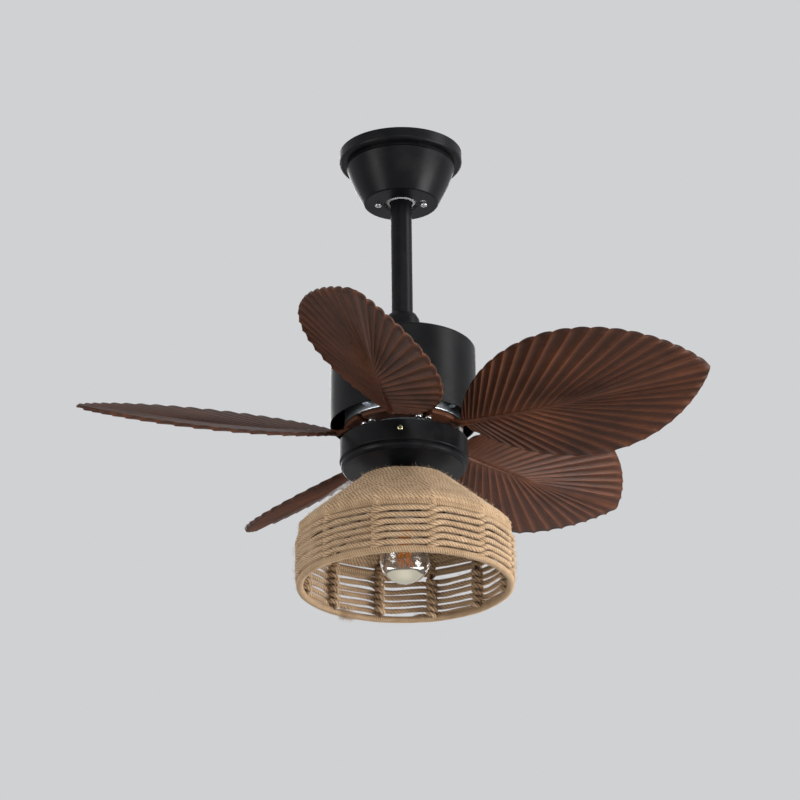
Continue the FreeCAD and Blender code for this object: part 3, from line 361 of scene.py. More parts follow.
@dataclass(frozen=True)
class PowderCoat(Finish):
    """Satin powder coat: fine orange peel, a little dust and uneven sheen."""

    colour: tuple = (0.0042, 0.0045, 0.0052)
    dusty: tuple = (0.0085, 0.0085, 0.009)
    dust_scale: float = 38.0
    dust_range: tuple = (0.42, 0.72)
    dust_dulling: float = 0.22
    peel_scale: float = 1400.0
    peel_dulling: float = 0.12
    peel_depth: float = 0.06 * MM
    peel_strength: float = 0.55
    roughness: float = 0.36
    specular: float = 0.11

    def paint(self, shader: Shader) -> None:
        """Cloudy dust over the colour, peel in the bump and the roughness.

        Args:
            shader: The tree that is built.
        """
        dust = shader.noise(shader.place(), self.dust_scale, detail=4.0, rough=0.6)
        peel = shader.noise(shader.place(), self.peel_scale, detail=2.0)
        shader.set(
            base_color=shader.mix(dust.between(*self.dust_range), self.colour, self.dusty),
            roughness=self.roughness + dust.swing(self.dust_dulling) + peel.swing(self.peel_dulling),
            specular_ior_level=self.specular,
            normal=shader.bump(peel, self.peel_depth, self.peel_strength),
        )


@dataclass(frozen=True)
class Metal(Finish):
    """Bare or plated metal."""

    colour: tuple = (0.6, 0.6, 0.6)
    roughness: float = 0.3
    grain: Grain = Grain.PLATED
    stained: float = 0.25
    stain_scale: float = 55.0
    stain_range: tuple = (0.4, 0.7)
    mark_dulling: float = 0.25
    mark_strength: float = 0.5

    def paint(self, shader: Shader) -> None:
        """Stains in the colour, and marks of the working in roughness and bump.

        Args:
            shader: The tree that is built.
        """
        stretch, scale, depth = self.grain.value
        marks = shader.noise(shader.place(stretch), scale, detail=4.0)
        stain = shader.noise(shader.place(), self.stain_scale)
        dark = shaded(self.colour, 1 - self.stained)
        shader.set(
            base_color=shader.mix(stain.between(*self.stain_range), self.colour, dark),
            roughness=(self.roughness + marks.swing(self.mark_dulling)).clamped(),
            metallic=1.0,
            normal=shader.bump(marks, depth, self.mark_strength),
        )


@dataclass(frozen=True)
class Moulded(Finish):
    """Moulded plastic, fibre or glazed piece."""

    colour: tuple = (0.5, 0.5, 0.5)
    roughness: float = 0.5
    mottled: float = 0.2
    mottle_scale: float = 70.0
    mottle_range: tuple = (0.35, 0.7)
    pit_scale: float = 1100.0
    pit_dulling: float = 0.2
    pit_depth: float = 0.05 * MM
    pit_strength: float = 0.5

    def paint(self, shader: Shader) -> None:
        """Soft mottling and a fine moulded texture.

        Args:
            shader: The tree that is built.
        """
        mottle = shader.noise(shader.place(), self.mottle_scale)
        pits = shader.noise(shader.place(), self.pit_scale, detail=2.0)
        dark = shaded(self.colour, 1 - self.mottled)
        shader.set(
            base_color=shader.mix(mottle.between(*self.mottle_range), self.colour, dark),
            roughness=(self.roughness + pits.swing(self.pit_dulling)).clamped(),
            normal=shader.bump(pits, self.pit_depth, self.pit_strength),
        )


@dataclass(frozen=True)
class Layered(Finish):
    """Stacked sheets or wound wire: fine even lines round a piece."""

    colour: tuple = (0.3, 0.3, 0.32)
    line_step: float = 1.1 * MM
    roughness: float = 0.4
    hollow_share: float = 0.35
    line_share: float = 0.6
    line_depth: float = 0.15 * MM
    line_strength: float = 0.6
    cloud_scale: float = 120.0
    cloud_dulling: float = 0.2

    def paint(self, shader: Shader) -> None:
        """Dark lines at even levels, with their relief.

        Args:
            shader: The tree that is built.
        """
        level = shader.axis("Z") * (TURN / self.line_step)
        line = level.math("SINE") * 0.5 + 0.5
        cloud = shader.noise(shader.place(), self.cloud_scale)
        light = line * self.line_share + cloud * (1 - self.line_share)
        shader.set(
            base_color=shader.mix(light, shaded(self.colour, self.hollow_share), self.colour),
            roughness=self.roughness + cloud.swing(self.cloud_dulling),
            metallic=1.0,
            normal=shader.bump(line, self.line_depth, self.line_strength),
        )


@dataclass(frozen=True)
class LeafStain(Finish):
    """Walnut-stained moulded leaf: streaks along the veins, grain along the leaf, painted shade in the
    creases and painted light and shade across the ridges.
    """

    deep: tuple = (0.0195, 0.006, 0.0026)
    middle: tuple = (0.078, 0.0245, 0.0094)
    warm: tuple = (0.188, 0.061, 0.0245)
    tone_places: tuple = (0.36, 0.53, 0.74)
    streak_scale: tuple = (210.0, 2.2, 1.0)
    streak_share: float = 0.42
    fine_scale: tuple = (900.0, 9.0, 1.0)
    fine_share: float = 0.14
    fine_dulling: float = 0.3
    cloud_scale: float = 17.0
    cloud_share: float = 0.32
    grain_along: float = 26.0
    grain_across: float = 430.0
    grain_share: float = 0.18
    pore_range: tuple = (0.54, 0.7)
    pore_share: float = 0.62
    # Painted light and shade: the tone is lighter along the ridges and darker in the creases.
    painted_ridge_light_share: float = 0.1
    # Painted shade: the creases between the pleats are darkened towards the deep colour.
    painted_crease_shade_range: tuple = (0.72, 1.0)
    painted_crease_shade_share: float = 0.45
    fine_relief: float = 0.6
    streak_relief: float = 0.8
    relief_depth: float = 0.45 * MM
    relief_strength: float = 0.7
    roughness: float = 0.48
    specular: float = 0.26

    def paint(self, shader: Shader) -> None:
        """Streaks follow the veins through UV, U across them and V along; grain follows the leaf's marks.

        Args:
            shader: The tree that is built.
        """
        streak = shader.noise(shader.along(self.streak_scale), 1.0, detail=5.0, rough=0.62)
        fine = shader.noise(shader.along(self.fine_scale), 1.0, rough=0.6)
        cloud = shader.noise(shader.place(), self.cloud_scale)
        ridge = shader.attribute("ridge")
        lengthwise = shader.attribute("along") * self.grain_along
        crosswise = shader.attribute("across") * self.grain_across
        run = shader.node("ShaderNodeCombineXYZ", None, {"X": lengthwise, "Y": crosswise})
        grain = shader.noise(run.outputs[0], 1.0, rough=0.6)
        # The ridge term is painted light and shade: lighter along the ridges, darker in the creases.
        tone = (
            streak * self.streak_share + fine * self.fine_share + cloud * self.cloud_share
            + grain * self.grain_share + ridge.swing(self.painted_ridge_light_share)
        )
        colour = shader.ramp(tone, self.tone_places, self.deep, self.middle, self.warm)
        # Painted shade in the creases, away from the ridges.
        painted_crease_shade = (1 - ridge).between(*self.painted_crease_shade_range) * self.painted_crease_shade_share
        pores = grain.between(*self.pore_range) * self.pore_share
        relief = fine * self.fine_relief + streak * self.streak_relief
        shader.set(
            base_color=shader.mix(painted_crease_shade.math("MAXIMUM", pores), colour, self.deep),
            roughness=self.roughness + fine.swing(self.fine_dulling),
            specular_ior_level=self.specular,
            normal=shader.bump(relief, self.relief_depth, self.relief_strength),
        )


@dataclass(frozen=True)
class Jute(Finish):
    """Twisted jute: a painted highlight on the strands' crowns, painted shade in the hollows between strands,
    and fine fibres along the lay.
    """

    shadow: tuple = (0.13, 0.07, 0.033)
    straw: tuple = (0.52, 0.343, 0.193)
    pale: tuple = (0.7, 0.51, 0.322)
    bleach: tuple = (0.9, 0.82, 0.68)
    tone_places: tuple = (0.3, 0.5, 0.72)
    fibre_scale: tuple = (420.0, 42.0, 1.0)
    fibre_share: float = 0.5
    fibre_dulling: float = 0.2
    fibre_depth: float = 0.6 * MM
    fibre_strength: float = 0.9
    patch_scale: float = 85.0
    patch_share: float = 0.34
    # Painted highlight: the strands' crowns are lightened.
    painted_crown_highlight_share: float = 0.16
    bleached_fibres: tuple = (0.66, 0.76)
    bleached_patches: tuple = (0.5, 0.62)
    # Painted shade in the hollows between the strands: a share of the shadow colour.
    painted_hollow_shade_range: tuple = (0.3, 0.95)
    hollow_share: float = 0.85
    roughness: float = 0.86
    specular: float = 0.2
    sheen: float = 0.25
    sheen_roughness: float = 0.5

    def paint(self, shader: Shader) -> None:
        """Fibres follow the strand through UV: U along the rope in metres, V round it.

        Args:
            shader: The tree that is built.
        """
        fibre = shader.noise(shader.along(self.fibre_scale), 1.0, detail=4.0, rough=0.65)
        patch = shader.noise(shader.place(), self.patch_scale)
        crown = shader.attribute("crown")
        # The crown term is a painted highlight on the strands' crowns.
        tone = fibre * self.fibre_share + patch * self.patch_share + crown * self.painted_crown_highlight_share
        colour = shader.ramp(tone, self.tone_places, self.shadow, self.straw, self.pale)
        faded = fibre.between(*self.bleached_fibres) * patch.between(*self.bleached_patches)
        # Painted shade in the hollows between the strands and between a cord's wraps.
        hollow = (1 - crown).between(*self.painted_hollow_shade_range) * self.hollow_share
        shader.set(
            base_color=shader.mix(hollow, shader.mix(faded, colour, self.bleach), self.shadow),
            roughness=self.roughness + fibre.swing(self.fibre_dulling),
            specular_ior_level=self.specular,
            sheen_weight=self.sheen,
            sheen_roughness=self.sheen_roughness,
            normal=shader.bump(fibre, self.fibre_depth, self.fibre_strength),
        )


@dataclass(frozen=True)
class LampGlass(Finish):
    """Clear glass whose bowl is silvered below a level."""

    bowl_z: float = -538.8 * MM
    clear: tuple = (0.93, 0.93, 0.92)
    silver: tuple = (0.74, 0.685, 0.53)
    dark_band: tuple = (0.12, 0.1, 0.08)
    dark_band_share: float = 0.85
    rim: tuple = (1.2 * MM, 2.6 * MM)
    edge: float = 0.4 * MM
    wave_scale: float = 60.0
    wave_height: float = 5.0 * MM
    roughness: float = 0.01
    bowl_dulling: float = 0.05
    ior: float = 1.45

    def paint(self, shader: Shader) -> None:
        """The silvering is metallic, with a slightly wavy edge and a darker band along it; the rest
        transmits.

        Args:
            shader: The tree that is built.
        """
        wave = shader.noise(shader.place(), self.wave_scale, detail=1.0)
        depth = self.bowl_z - shader.axis("Z") + wave.swing(self.wave_height)
        bowl = depth.between(0.0, self.edge)
        rim = bowl * (1 - depth.between(*self.rim)) * self.dark_band_share
        shader.set(
            base_color=shader.mix(rim, shader.mix(bowl, self.clear, self.silver), self.dark_band),
            metallic=bowl,
            roughness=bowl * self.bowl_dulling + self.roughness,
            transmission_weight=1.0,
            ior=self.ior,
        )


@dataclass(frozen=True)
class ClearGlass(Finish):
    """Plain glass of the lamp's stem."""

    colour: tuple = (0.95, 0.92, 0.86)
    cord_stretch: tuple = (1, 1, 0.2)
    cord_scale: float = 240.0
    cord_dulling: float = 0.06
    ior: float = 1.5

    def paint(self, shader: Shader) -> None:
        """Faint cords in the glass roughen it a little.

        Args:
            shader: The tree that is built.
        """
        cords = shader.noise(shader.place(self.cord_stretch), self.cord_scale)
        shader.set(
            base_color=(*self.colour, 1.0),
            roughness=cords * self.cord_dulling,
            transmission_weight=1.0,
            ior=self.ior,
        )


@dataclass(frozen=True)
class AmberStrip(Finish):
    """Amber coating of the lamp's filaments, with a faint glow."""

    colour: tuple = (0.7, 0.22, 0.018)
    deep_share: float = 0.55
    bead_scale: float = 500.0
    bead_range: tuple = (0.35, 0.65)
    roughness: float = 0.4
    glow: float = 0.22

    def paint(self, shader: Shader) -> None:
        """Beads along the strip vary the amber.

        Args:
            shader: The tree that is built.
        """
        beads = shader.noise(shader.place(), self.bead_scale)
        deep = shaded(self.colour, self.deep_share)
        amber = shader.mix(beads.between(*self.bead_range), self.colour, deep)
        shader.set(
            base_color=amber,
            emission_color=amber,
            emission_strength=self.glow,
            roughness=self.roughness,
        )


BLACK_COAT = PowderCoat("black_powder_coat")
ZINC = Metal("zinc_plate", colour=(0.5, 0.52, 0.5), roughness=0.36)
CHROME = Metal("bright_screw", colour=(0.72, 0.72, 0.72), roughness=0.16, stained=0.35)
GROUND_STEEL = Metal("ground_steel", colour=(0.45, 0.45, 0.46), roughness=0.3, grain=Grain.BRUSHED)
CAST_IRON = Metal("cast_yoke_iron", colour=(0.1, 0.1, 0.1), roughness=0.6, grain=Grain.CAST)
BELL_ALLOY = Metal("motor_bell_alloy", colour=(0.74, 0.8, 0.84), roughness=0.42, grain=Grain.BRUSHED)
BRASS = Metal("plain_brass", colour=(0.62, 0.45, 0.2), roughness=0.28)
PALE_BRASS = Metal("pale_brass_screw", colour=(0.6, 0.56, 0.36), roughness=0.24, stained=0.4)
CAP_ALLOY = Metal("lamp_cap_alloy", colour=(0.62, 0.62, 0.62), roughness=0.3)
LAMINATION = Layered("core_sheets")
COIL_COPPER = Layered("enamelled_copper", colour=(0.5, 0.19, 0.07), line_step=0.8 * MM, roughness=0.3)
GREY_NYLON = Moulded("grey_nylon", colour=(0.6, 0.61, 0.61), roughness=0.5)
IVORY = Moulded("ivory_terminal", colour=(0.68, 0.65, 0.56), roughness=0.45)
BROWN_WIRE = Moulded("brown_shade_wire", colour=(0.11, 0.066, 0.036), roughness=0.6)
PHENOLIC = Moulded("dark_phenolic", colour=(0.02, 0.019, 0.018), roughness=0.35)
FIBRE = Moulded("dark_fibre", colour=(0.035, 0.032, 0.03), roughness=0.85, mottled=0.4)
WALNUT = LeafStain("walnut_leaf")
ROPE = Jute("jute_rope")
CORD = Jute("jute_cord", straw=(0.5, 0.326, 0.18), pale=(0.66, 0.478, 0.296))
GLASS = LampGlass("lamp_glass_silvered")
STEM_GLASS = ClearGlass("stem_glass_clear")
AMBER = AmberStrip("amber_filament")

NODE_FINISHES: dict[str, Finish] = {
    "canopy": BLACK_COAT, "downrod": BLACK_COAT, "coupling_cover": BLACK_COAT, "motor_housing": BLACK_COAT,
    "light_pan": BLACK_COAT, "hanger_bracket": ZINC, "terminal_block": IVORY, "canopy_screws": CHROME,
    "hanger_ball": GREY_NYLON, "hanger_pin": GROUND_STEEL, "coupling_yoke": CAST_IRON,
    "clevis_pin": GROUND_STEEL, "clevis_clip": GROUND_STEEL, "yoke_grub_screws": GROUND_STEEL,
    "housing_screws": CHROME, "motor_shaft": GROUND_STEEL, "stator_core": LAMINATION,
    "stator_coils": COIL_COPPER, "rotor_upper_cover": BELL_ALLOY, "rotor_lower_cover": BELL_ALLOY,
    "rotor_bolts": GROUND_STEEL, "rotor_ring": LAMINATION, "upper_bearing": GROUND_STEEL,
    "lower_bearing": GROUND_STEEL, "blade_gaskets": FIBRE, "blade_screws": CHROME, "light_plate": ZINC,
    "run_capacitor": PHENOLIC, "capacitor_screw": ZINC, "shaft_nut": ZINC, "pan_screws": PALE_BRASS,
    "lamp_nipple": BRASS, "nipple_nut": BRASS, "lamp_holder": PHENOLIC, "lamp_contacts": BRASS,
    "shade_nut": PHENOLIC, "bulb_cap": CAP_ALLOY, "bulb_stem": STEM_GLASS, "shade_frame": BROWN_WIRE,
}


@dataclass
class Surface:
    """A grid of points with its faces, UV coordinates and numbers per point.

    Where a grid holds many strands, a run is the number of rows of each, and no faces join one to the next.
    """

    points: Array
    u: Array
    v: Array
    wrap_rows: bool = False
    wrap_columns: bool = False
    marks: dict[str, Array] = field(default_factory=dict)
    run: int = 0

    def faces(self) -> tuple[Array, Array, Array]:
        """Quadrilaterals between neighbouring rows and columns.

        Returns:
            Corner point numbers, and each corner's row and column counted past the seam.
        """
        rows, columns = self.points.shape[:2]
        i, j = np.meshgrid(
            np.arange(rows if self.wrap_rows else rows - 1),
            np.arange(columns if self.wrap_columns else columns - 1),
            indexing="ij",
        )
        if self.run:
            joined = (i + 1) % self.run != 0
            i, j = i[joined], j[joined]
        corner_rows = np.stack([i, i + 1, i + 1, i], -1).reshape(-1, 4)
        corner_columns = np.stack([j, j, j + 1, j + 1], -1).reshape(-1, 4)
        corners = (corner_rows % rows) * columns + corner_columns % columns
        return corners, corner_rows, corner_columns


def build_mesh(name: str, surfaces: Sequence[Surface]) -> bpy.types.Object:
    """One object from several grids.

    Points are written as whole arrays, points that coincide are merged, so poles and seams close, and the
    normals are turned outwards.

    Args:
        name: The object's name.
        surfaces: Grids that make up the piece.

    Returns:
        The object, linked to the scene.
    """
    points, quads, uvs = [], [], []
    marks: dict[str, list[Array]] = {key: [] for key in surfaces[0].marks}
    start = 0
    for part in surfaces:
        corners, corner_rows, corner_columns = part.faces()
        points.append(part.points.reshape(-1, 3))
        quads.append(corners + start)
        uvs.append(np.stack([part.u[corner_rows], part.v[corner_columns]], -1).reshape(-1, 2))
        for key, kept in marks.items():
            kept.append(part.marks[key].reshape(-1))
        start += points[-1].shape[0]
    vertices = np.concatenate(points).astype(np.float32)
    loops = np.concatenate(quads).astype(np.int32)
    mesh = bpy.data.meshes.new(name)
    mesh.vertices.add(len(vertices))
    mesh.vertices.foreach_set("co", vertices.ravel())
    mesh.loops.add(loops.size)
    mesh.loops.foreach_set("vertex_index", loops.ravel())
    mesh.polygons.add(len(loops))
    mesh.polygons.foreach_set("loop_start", np.arange(len(loops), dtype=np.int32) * 4)
    mesh.uv_layers.new(name="UVMap").data.foreach_set("uv", np.concatenate(uvs).astype(np.float32).ravel())
    for key, kept in marks.items():
        layer = mesh.attributes.new(key, "FLOAT", "POINT")
        layer.data.foreach_set("value", np.concatenate(kept).astype(np.float32))
    mesh.update(calc_edges=True)
    mesh.validate()
    close_seams(mesh)
    piece = bpy.data.objects.new(name, mesh)
    bpy.context.scene.collection.objects.link(piece)
    return piece


def close_seams(mesh: bpy.types.Mesh) -> None:
    """Merge points that coincide, drop faces without area and turn the normals outwards.

    Args:
        mesh: The mesh that is cleaned in place.
    """
    merge_reach = 1e-6
    shape = bmesh.new()
    shape.from_mesh(mesh)
    bmesh.ops.remove_doubles(shape, verts=shape.verts, dist=merge_reach)
    bmesh.ops.dissolve_degenerate(shape, edges=shape.edges, dist=merge_reach)
    bmesh.ops.recalc_face_normals(shape, faces=shape.faces)
    shape.to_mesh(mesh)
    shape.free()
    mesh.polygons.foreach_set("use_smooth", np.ones(len(mesh.polygons), dtype=bool))
    mesh.update()


def dress(piece: bpy.types.Object, finish: Finish, body: Body, slot: str, *nodes: str) -> None:
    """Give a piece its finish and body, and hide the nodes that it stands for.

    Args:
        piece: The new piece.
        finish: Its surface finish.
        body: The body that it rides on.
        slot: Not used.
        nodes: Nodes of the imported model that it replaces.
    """
    piece.data.materials.append(finish.material())
    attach(piece, body.value)
    if nodes:
        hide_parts(*nodes)
    LOG.info("%s: %d faces, %s on %s", piece.name, len(piece.data.polygons), finish.name, body.value)


def smooth_path(knots: Array, step: float, per_span: int = 12) -> Array:
    """Even points on a uniform cubic B-spline that follows its knots.

    Each span blends four neighbouring knots with the cubic basis; the points are then spread evenly by
    length.

    Args:
        knots: Control points, one per row.
        step: Distance between the points.
        per_span: Points on each span before they are spread.

    Returns:
        Points on the curve.
    """
    padded = np.vstack([knots[:1], knots[:1], knots, knots[-1:], knots[-1:]])
    t = np.linspace(0, 1, per_span, endpoint=False)[None, :, None]
    a, b, c, d = (padded[k:len(padded) - 3 + k][:, None, :] for k in range(4))
    curve = (
        (1 - t) ** 3 * a + (3 * t ** 3 - 6 * t ** 2 + 4) * b
        + (-3 * t ** 3 + 3 * t ** 2 + 3 * t + 1) * c + t ** 3 * d
    ).reshape(-1, 3) / 6
    curve = np.vstack([curve, knots[-1:]])
    reach = np.concatenate([[0], np.cumsum(np.linalg.norm(np.diff(curve, axis=0), axis=1))])
    count = max(int(reach[-1] / step), 2)
    even = np.linspace(0, reach[-1], count + 1)
    return np.stack([np.interp(even, reach, curve[:, k]) for k in range(3)], -1)


def unit(vectors: Array) -> Array:
    """Vectors scaled to length one; a vector without length stays nought."""
    tiny = 1e-12
    return vectors / np.maximum(np.linalg.norm(vectors, axis=-1, keepdims=True), tiny)


def round_angles(count: int) -> Array:
    """Angles of points spread evenly on a circle."""
    return np.arange(count) / count * TURN


def round_shares(count: int) -> Array:
    """Shares of a turn at those points, counted past the seam."""
    return np.arange(count + 1) / count


def around_axis(radius: Array | float, azimuth: Array, z: Array | float) -> Array:
    """Points at a radius, azimuth and level about the fan's axis."""
    x, y = radius * np.cos(azimuth), radius * np.sin(azimuth)
    return np.stack(np.broadcast_arrays(x, y, z), -1)


def drawn_in(sizes: Array) -> Array:
    """Sizes along a piece, with both ends drawn in to a point."""
    return sizes * np.concatenate([[0], np.ones(len(sizes) - 2), [0]])


def squared_off(values: Array, power: float) -> Array:
    """Values to a power with their signs kept; powers below one square off a round section."""
    return np.sign(values) * np.abs(values) ** power


def waves(length: Array, *parts: tuple[float, float, float]) -> Array:
    """Sum of sine waves along a length, each with its height, rate and start."""
    return sum(height * np.sin(length * rate + start) for height, rate, start in parts)


def carried(path: Array, closed: bool = False) -> tuple[Array, Array, Array, Array]:
    """Frame along a path that is never upright.

    The side is heading x up and the crown is side x heading, so the frame doesn't twist.

    Args:
        path: Points of the path.
        closed: Whether the path's end joins its start.

    Returns:
        Heading, side and crown at each point, and the length up to it.
    """
    if closed:
        heading = unit(np.roll(path, -1, axis=0) - np.roll(path, 1, axis=0))
    else:
        heading = unit(np.gradient(path, axis=0))
    side = unit(np.cross(heading, np.array([0.0, 0.0, 1.0])))
    crown = np.cross(side, heading)
    steps = np.linalg.norm(np.diff(path, axis=0), axis=1)
    return heading, side, crown, np.concatenate([[0], np.cumsum(steps)])


def swept(path: Array, side: Array, crown: Array, reach: Array, turn: Array) -> Array:
    """Points of a section on a path's frame: path + reach cos(turn) side + reach sin(turn) crown."""
    across, up = (reach * np.cos(turn))[..., None], (reach * np.sin(turn))[..., None]
    return path[:, None, :] + across * side[:, None, :] + up * crown[:, None, :]


def laid_rope(path: Array, radius: float, lay: float, strands: int, sides: int = 4) -> Surface:
    """Twisted rope along a path.

    The section's radius at angle a from a strand's crown is R (1 - h + h |cos(strands a / 2)|^p), where h is
    the hollow's depth, and the whole section turns once per lay, so each line of points follows its strand.
    Slow waves along the rope vary its thickness by a few percent and loosen or tighten the twist.

    Args:
        path: Points of the rope's middle.
        radius: Outer radius.
        lay: Length of one full twist.
        strands: Number of strands.
        sides: Points across each strand.

    Returns:
        The rope's skin with drawn-in ends and a crown mark.
    """
    hollow, lobe_power = 0.26, 0.7
    loosening = (0.55, 131, 0), (0.4, 53, 0)
    thickening = (0.05, 208, 0), (0.04, 87, 1)
    _, side, crown, length = carried(path)
    angle = round_angles(strands * sides)
    lobe = np.abs(np.cos(angle * strands / 2)) ** lobe_power
    section = radius * (1 - hollow + hollow * lobe)
    twist = length / lay * TURN + waves(length, *loosening)
    reach = section * drawn_in(1 + waves(length, *thickening))[:, None]
    points = swept(path, side, crown, reach, angle - twist[:, None])
    # The crown mark drives the rope finish's painted highlight on the crowns and painted shade in the
    # hollows.
    marks = {"crown": np.broadcast_to(lobe, reach.shape).copy()}
    return Surface(points, length, round_shares(len(angle)), wrap_columns=True, marks=marks)


def turned_profile(profile: Array, segments: int = 96) -> Surface:
    """Surface of revolution: each point of a closed outline is carried round the fan's axis.

    Args:
        profile: Points (radius, level) of the outline.
        segments: Points round the axis.

    Returns:
        The turned surface.
    """
    points = around_axis(profile[:, :1], round_angles(segments), profile[:, 1:])
    steps = np.linalg.norm(np.diff(profile, axis=0, append=profile[:1]), axis=1)
    u = np.concatenate([[0], np.cumsum(steps)])
    return Surface(points, u, round_shares(segments), wrap_rows=True, wrap_columns=True)


@dataclass
class LeafBlades:
    """Five moulded leaves on ring tabs under the motor."""

    count: int = 5
    phase: float = -25.4
    pitch: float = 29.3
    rise: float = 2.8
    root_r: float = 78 * MM
    root_z: float = -369.7 * MM
    length: float = 306 * MM
    thick: float = 2.4 * MM
    pleats: int = 20
    pleat_h: float = 2.5 * MM
    ridge_power: float = 0.7
    skew: float = -4.1
    keel: float = 6.0 * MM
    reach: float = 0.46
    crowding: float = 1.2
    closeness: float = 0.45
    halves: tuple = ((-1, 96 * MM, 0.69, 0.74), (1, 86 * MM, 0.8, 0.86))
    scallop: float = 0.002
    scallop_power: int = 6
    rib_start: float = 20 * MM
    rib_tip: tuple = (0.9 * MM, 1.2 * MM)
    rib_root: tuple = (3.6 * MM, 2.6 * MM)
    rib_tab: tuple = (8.0 * MM, -0.9 * MM)
    rib_rise: float = 8.7 * MM
    tab_inner_r: float = 47 * MM
    tab_outer_r: float = 70 * MM
    tab_top_z: float = -358 * MM
    tab_low_z: float = -364 * MM
    tab_half_angle: float = 33.5

    def to_fan(self, local: Array, azimuth: float) -> Array:
        """Leaf coordinates to the fan's.

        Args:
            local: Points (along, across, up) from the leaf's root.
            azimuth: The blade's azimuth in degrees.

        Returns:
            The points pitched about X, raised about Y, moved out to the root and turned to the azimuth.
        """
        pitch, rise, turn = (math.radians(a) for a in (-self.pitch, -self.rise, azimuth))
        place = (
            Matrix.Rotation(turn, 4, "Z") @ Matrix.Translation((self.root_r, 0, self.root_z))
            @ Matrix.Rotation(rise, 4, "Y") @ Matrix.Rotation(pitch, 4, "X")
        )
        m = np.array(place)
        return local @ m[:3, :3].T + m[:3, 3]

    def bowed(self, x: Array) -> Array:
        """Depth of the midrib below the leaf's edges: a parabola along the leaf."""
        share = x / self.length
        return -4 * self.keel * share * (1 - share)

    def sheared(self, x: Array, y: Array) -> Array:
        """Across coordinate with the root's shift towards its skewed tab, fading to the tip."""
        return y + self.root_r * math.tan(math.radians(self.skew)) * (1 - x / self.length)

    def half_leaf(self, side: int, width: float, root: float, tip: float, azimuth: float) -> Surface:
        """Pleated sheet of one half, its two faces and its rim as one closed strip.

        A vein at share s runs straight from the bowed midrib at reach L s^crowding to the edge at L s, where
        the half width is W s^root (1 - s)^tip over its peak. Veins stand closer at both ends: s is t less a
        sine of t. Across them the height is 2 |sin(pi n t)|^p - 1, narrow ridges below broad channels, and
        grows from the midrib; the faces lie half a thickness to either side.

        Args:
            side: -1 for the raised half, 1 for the lowered one.
            width: Greatest half width.
            root: Power of the rise from the root.
            tip: Power of the fall to the tip.
            azimuth: The blade's azimuth in degrees.

        Returns:
            The closed half.
        """
        per_fold, per_vein = 6, 15
        grown_at, marked_at = 4 * self.pleat_h, 1 / 8
        t = np.linspace(0, 1, self.pleats * 2 * per_fold + 1)
        s = t - self.closeness * np.sin(TURN * t) / TURN
        out = np.concatenate([np.linspace(0, 1, per_vein), np.linspace(1, 0, per_vein)])
        under = np.repeat([1.0, -1.0], per_vein)
        peak = root / (root + tip)
        scale = peak ** root * (1 - peak) ** tip
        half = width * s ** root * (1 - s) ** tip / scale
        fold = 2 * np.abs(np.sin(math.pi * self.pleats * t))[:, None] ** self.ridge_power - 1
        foot = self.length * self.reach * s ** self.crowding
        x = foot[:, None] + (self.length * s - foot)[:, None] * out
        y = side * half[:, None] * out
        scallop = 1 + self.scallop * fold * out ** self.scallop_power
        grown = np.minimum(1.0, np.abs(y) / grown_at)
        keel = self.bowed(foot)[:, None] * (1 - out)
        z = self.pleat_h / 2 * fold * grown + under * self.thick / 2 + keel
        local = np.stack([x, self.sheared(x, y * scallop), z], -1)
        # The ridge mark drives the leaf finish's painted highlight on the ridges and painted shade in the
        # creases.
        ridge = 0.5 - 0.5 * fold * np.minimum(1.0, out / marked_at)
        v = np.append(out, 0.0) + (side > 0)
        marks = {"ridge": ridge, "along": x, "across": y}
        return Surface(self.to_fan(local, azimuth), s + azimuth, v, wrap_columns=True, marks=marks)

    def midrib(self, azimuth: float) -> Surface:
        """Rib from the tab along the leaf, level at the tab and pitched on the leaf.

        An oval section, a little squared off across. Its half width and half height are sums of a size at the
        tip, one at the root, that falls with a power of the length that is left, and one at the tab. Towards
        the tab the rib also rises and turns level.

        Args:
            azimuth: The blade's azimuth in degrees.

        Returns:
            The closed rib.
        """
        stations, sides, squareness = 70, 14, 0.8
        narrowing, thinning, flaring, bending = 2.5, 2, 1.5, 1.4
        rising, levelling = 1.15, 1.2
        tip_w, tip_h = self.rib_tip
        root_w, root_h = self.rib_root
        tab_w, tab_h = self.rib_tab
        end = self.reach * self.length
        x = np.linspace(-self.rib_start, end, stations)
        left = 1 - np.clip(x / end, 0, 1)
        inner = np.clip(-x / self.rib_start, 0, 1)
        width = drawn_in(tip_w + root_w * left ** narrowing + tab_w * inner ** flaring)
        height = drawn_in(tip_h + root_h * left ** thinning + tab_h * inner)
        risen = self.rib_rise * np.clip(inner * rising, 0, 1) ** bending
        lift = risen + np.where(x > 0, self.bowed(x), 0)
        a = round_angles(sides)
        y = width[:, None] * squared_off(np.cos(a), squareness)
        z = height[:, None] * np.sin(a)
        level = math.radians(self.pitch) * np.clip(inner * levelling, 0, 1)[:, None]
        along = np.broadcast_to(x[:, None], y.shape)
        local = np.stack([
            along, self.sheared(along, y * np.cos(level) - z * np.sin(level)),
            y * np.sin(level) + z * np.cos(level) + lift[:, None],
        ], -1)
        marks = {"ridge": np.full(y.shape, 0.5), "along": along, "across": y}
        points = self.to_fan(local, azimuth)
        return Surface(points, x + azimuth, round_shares(sides), wrap_columns=True, marks=marks)

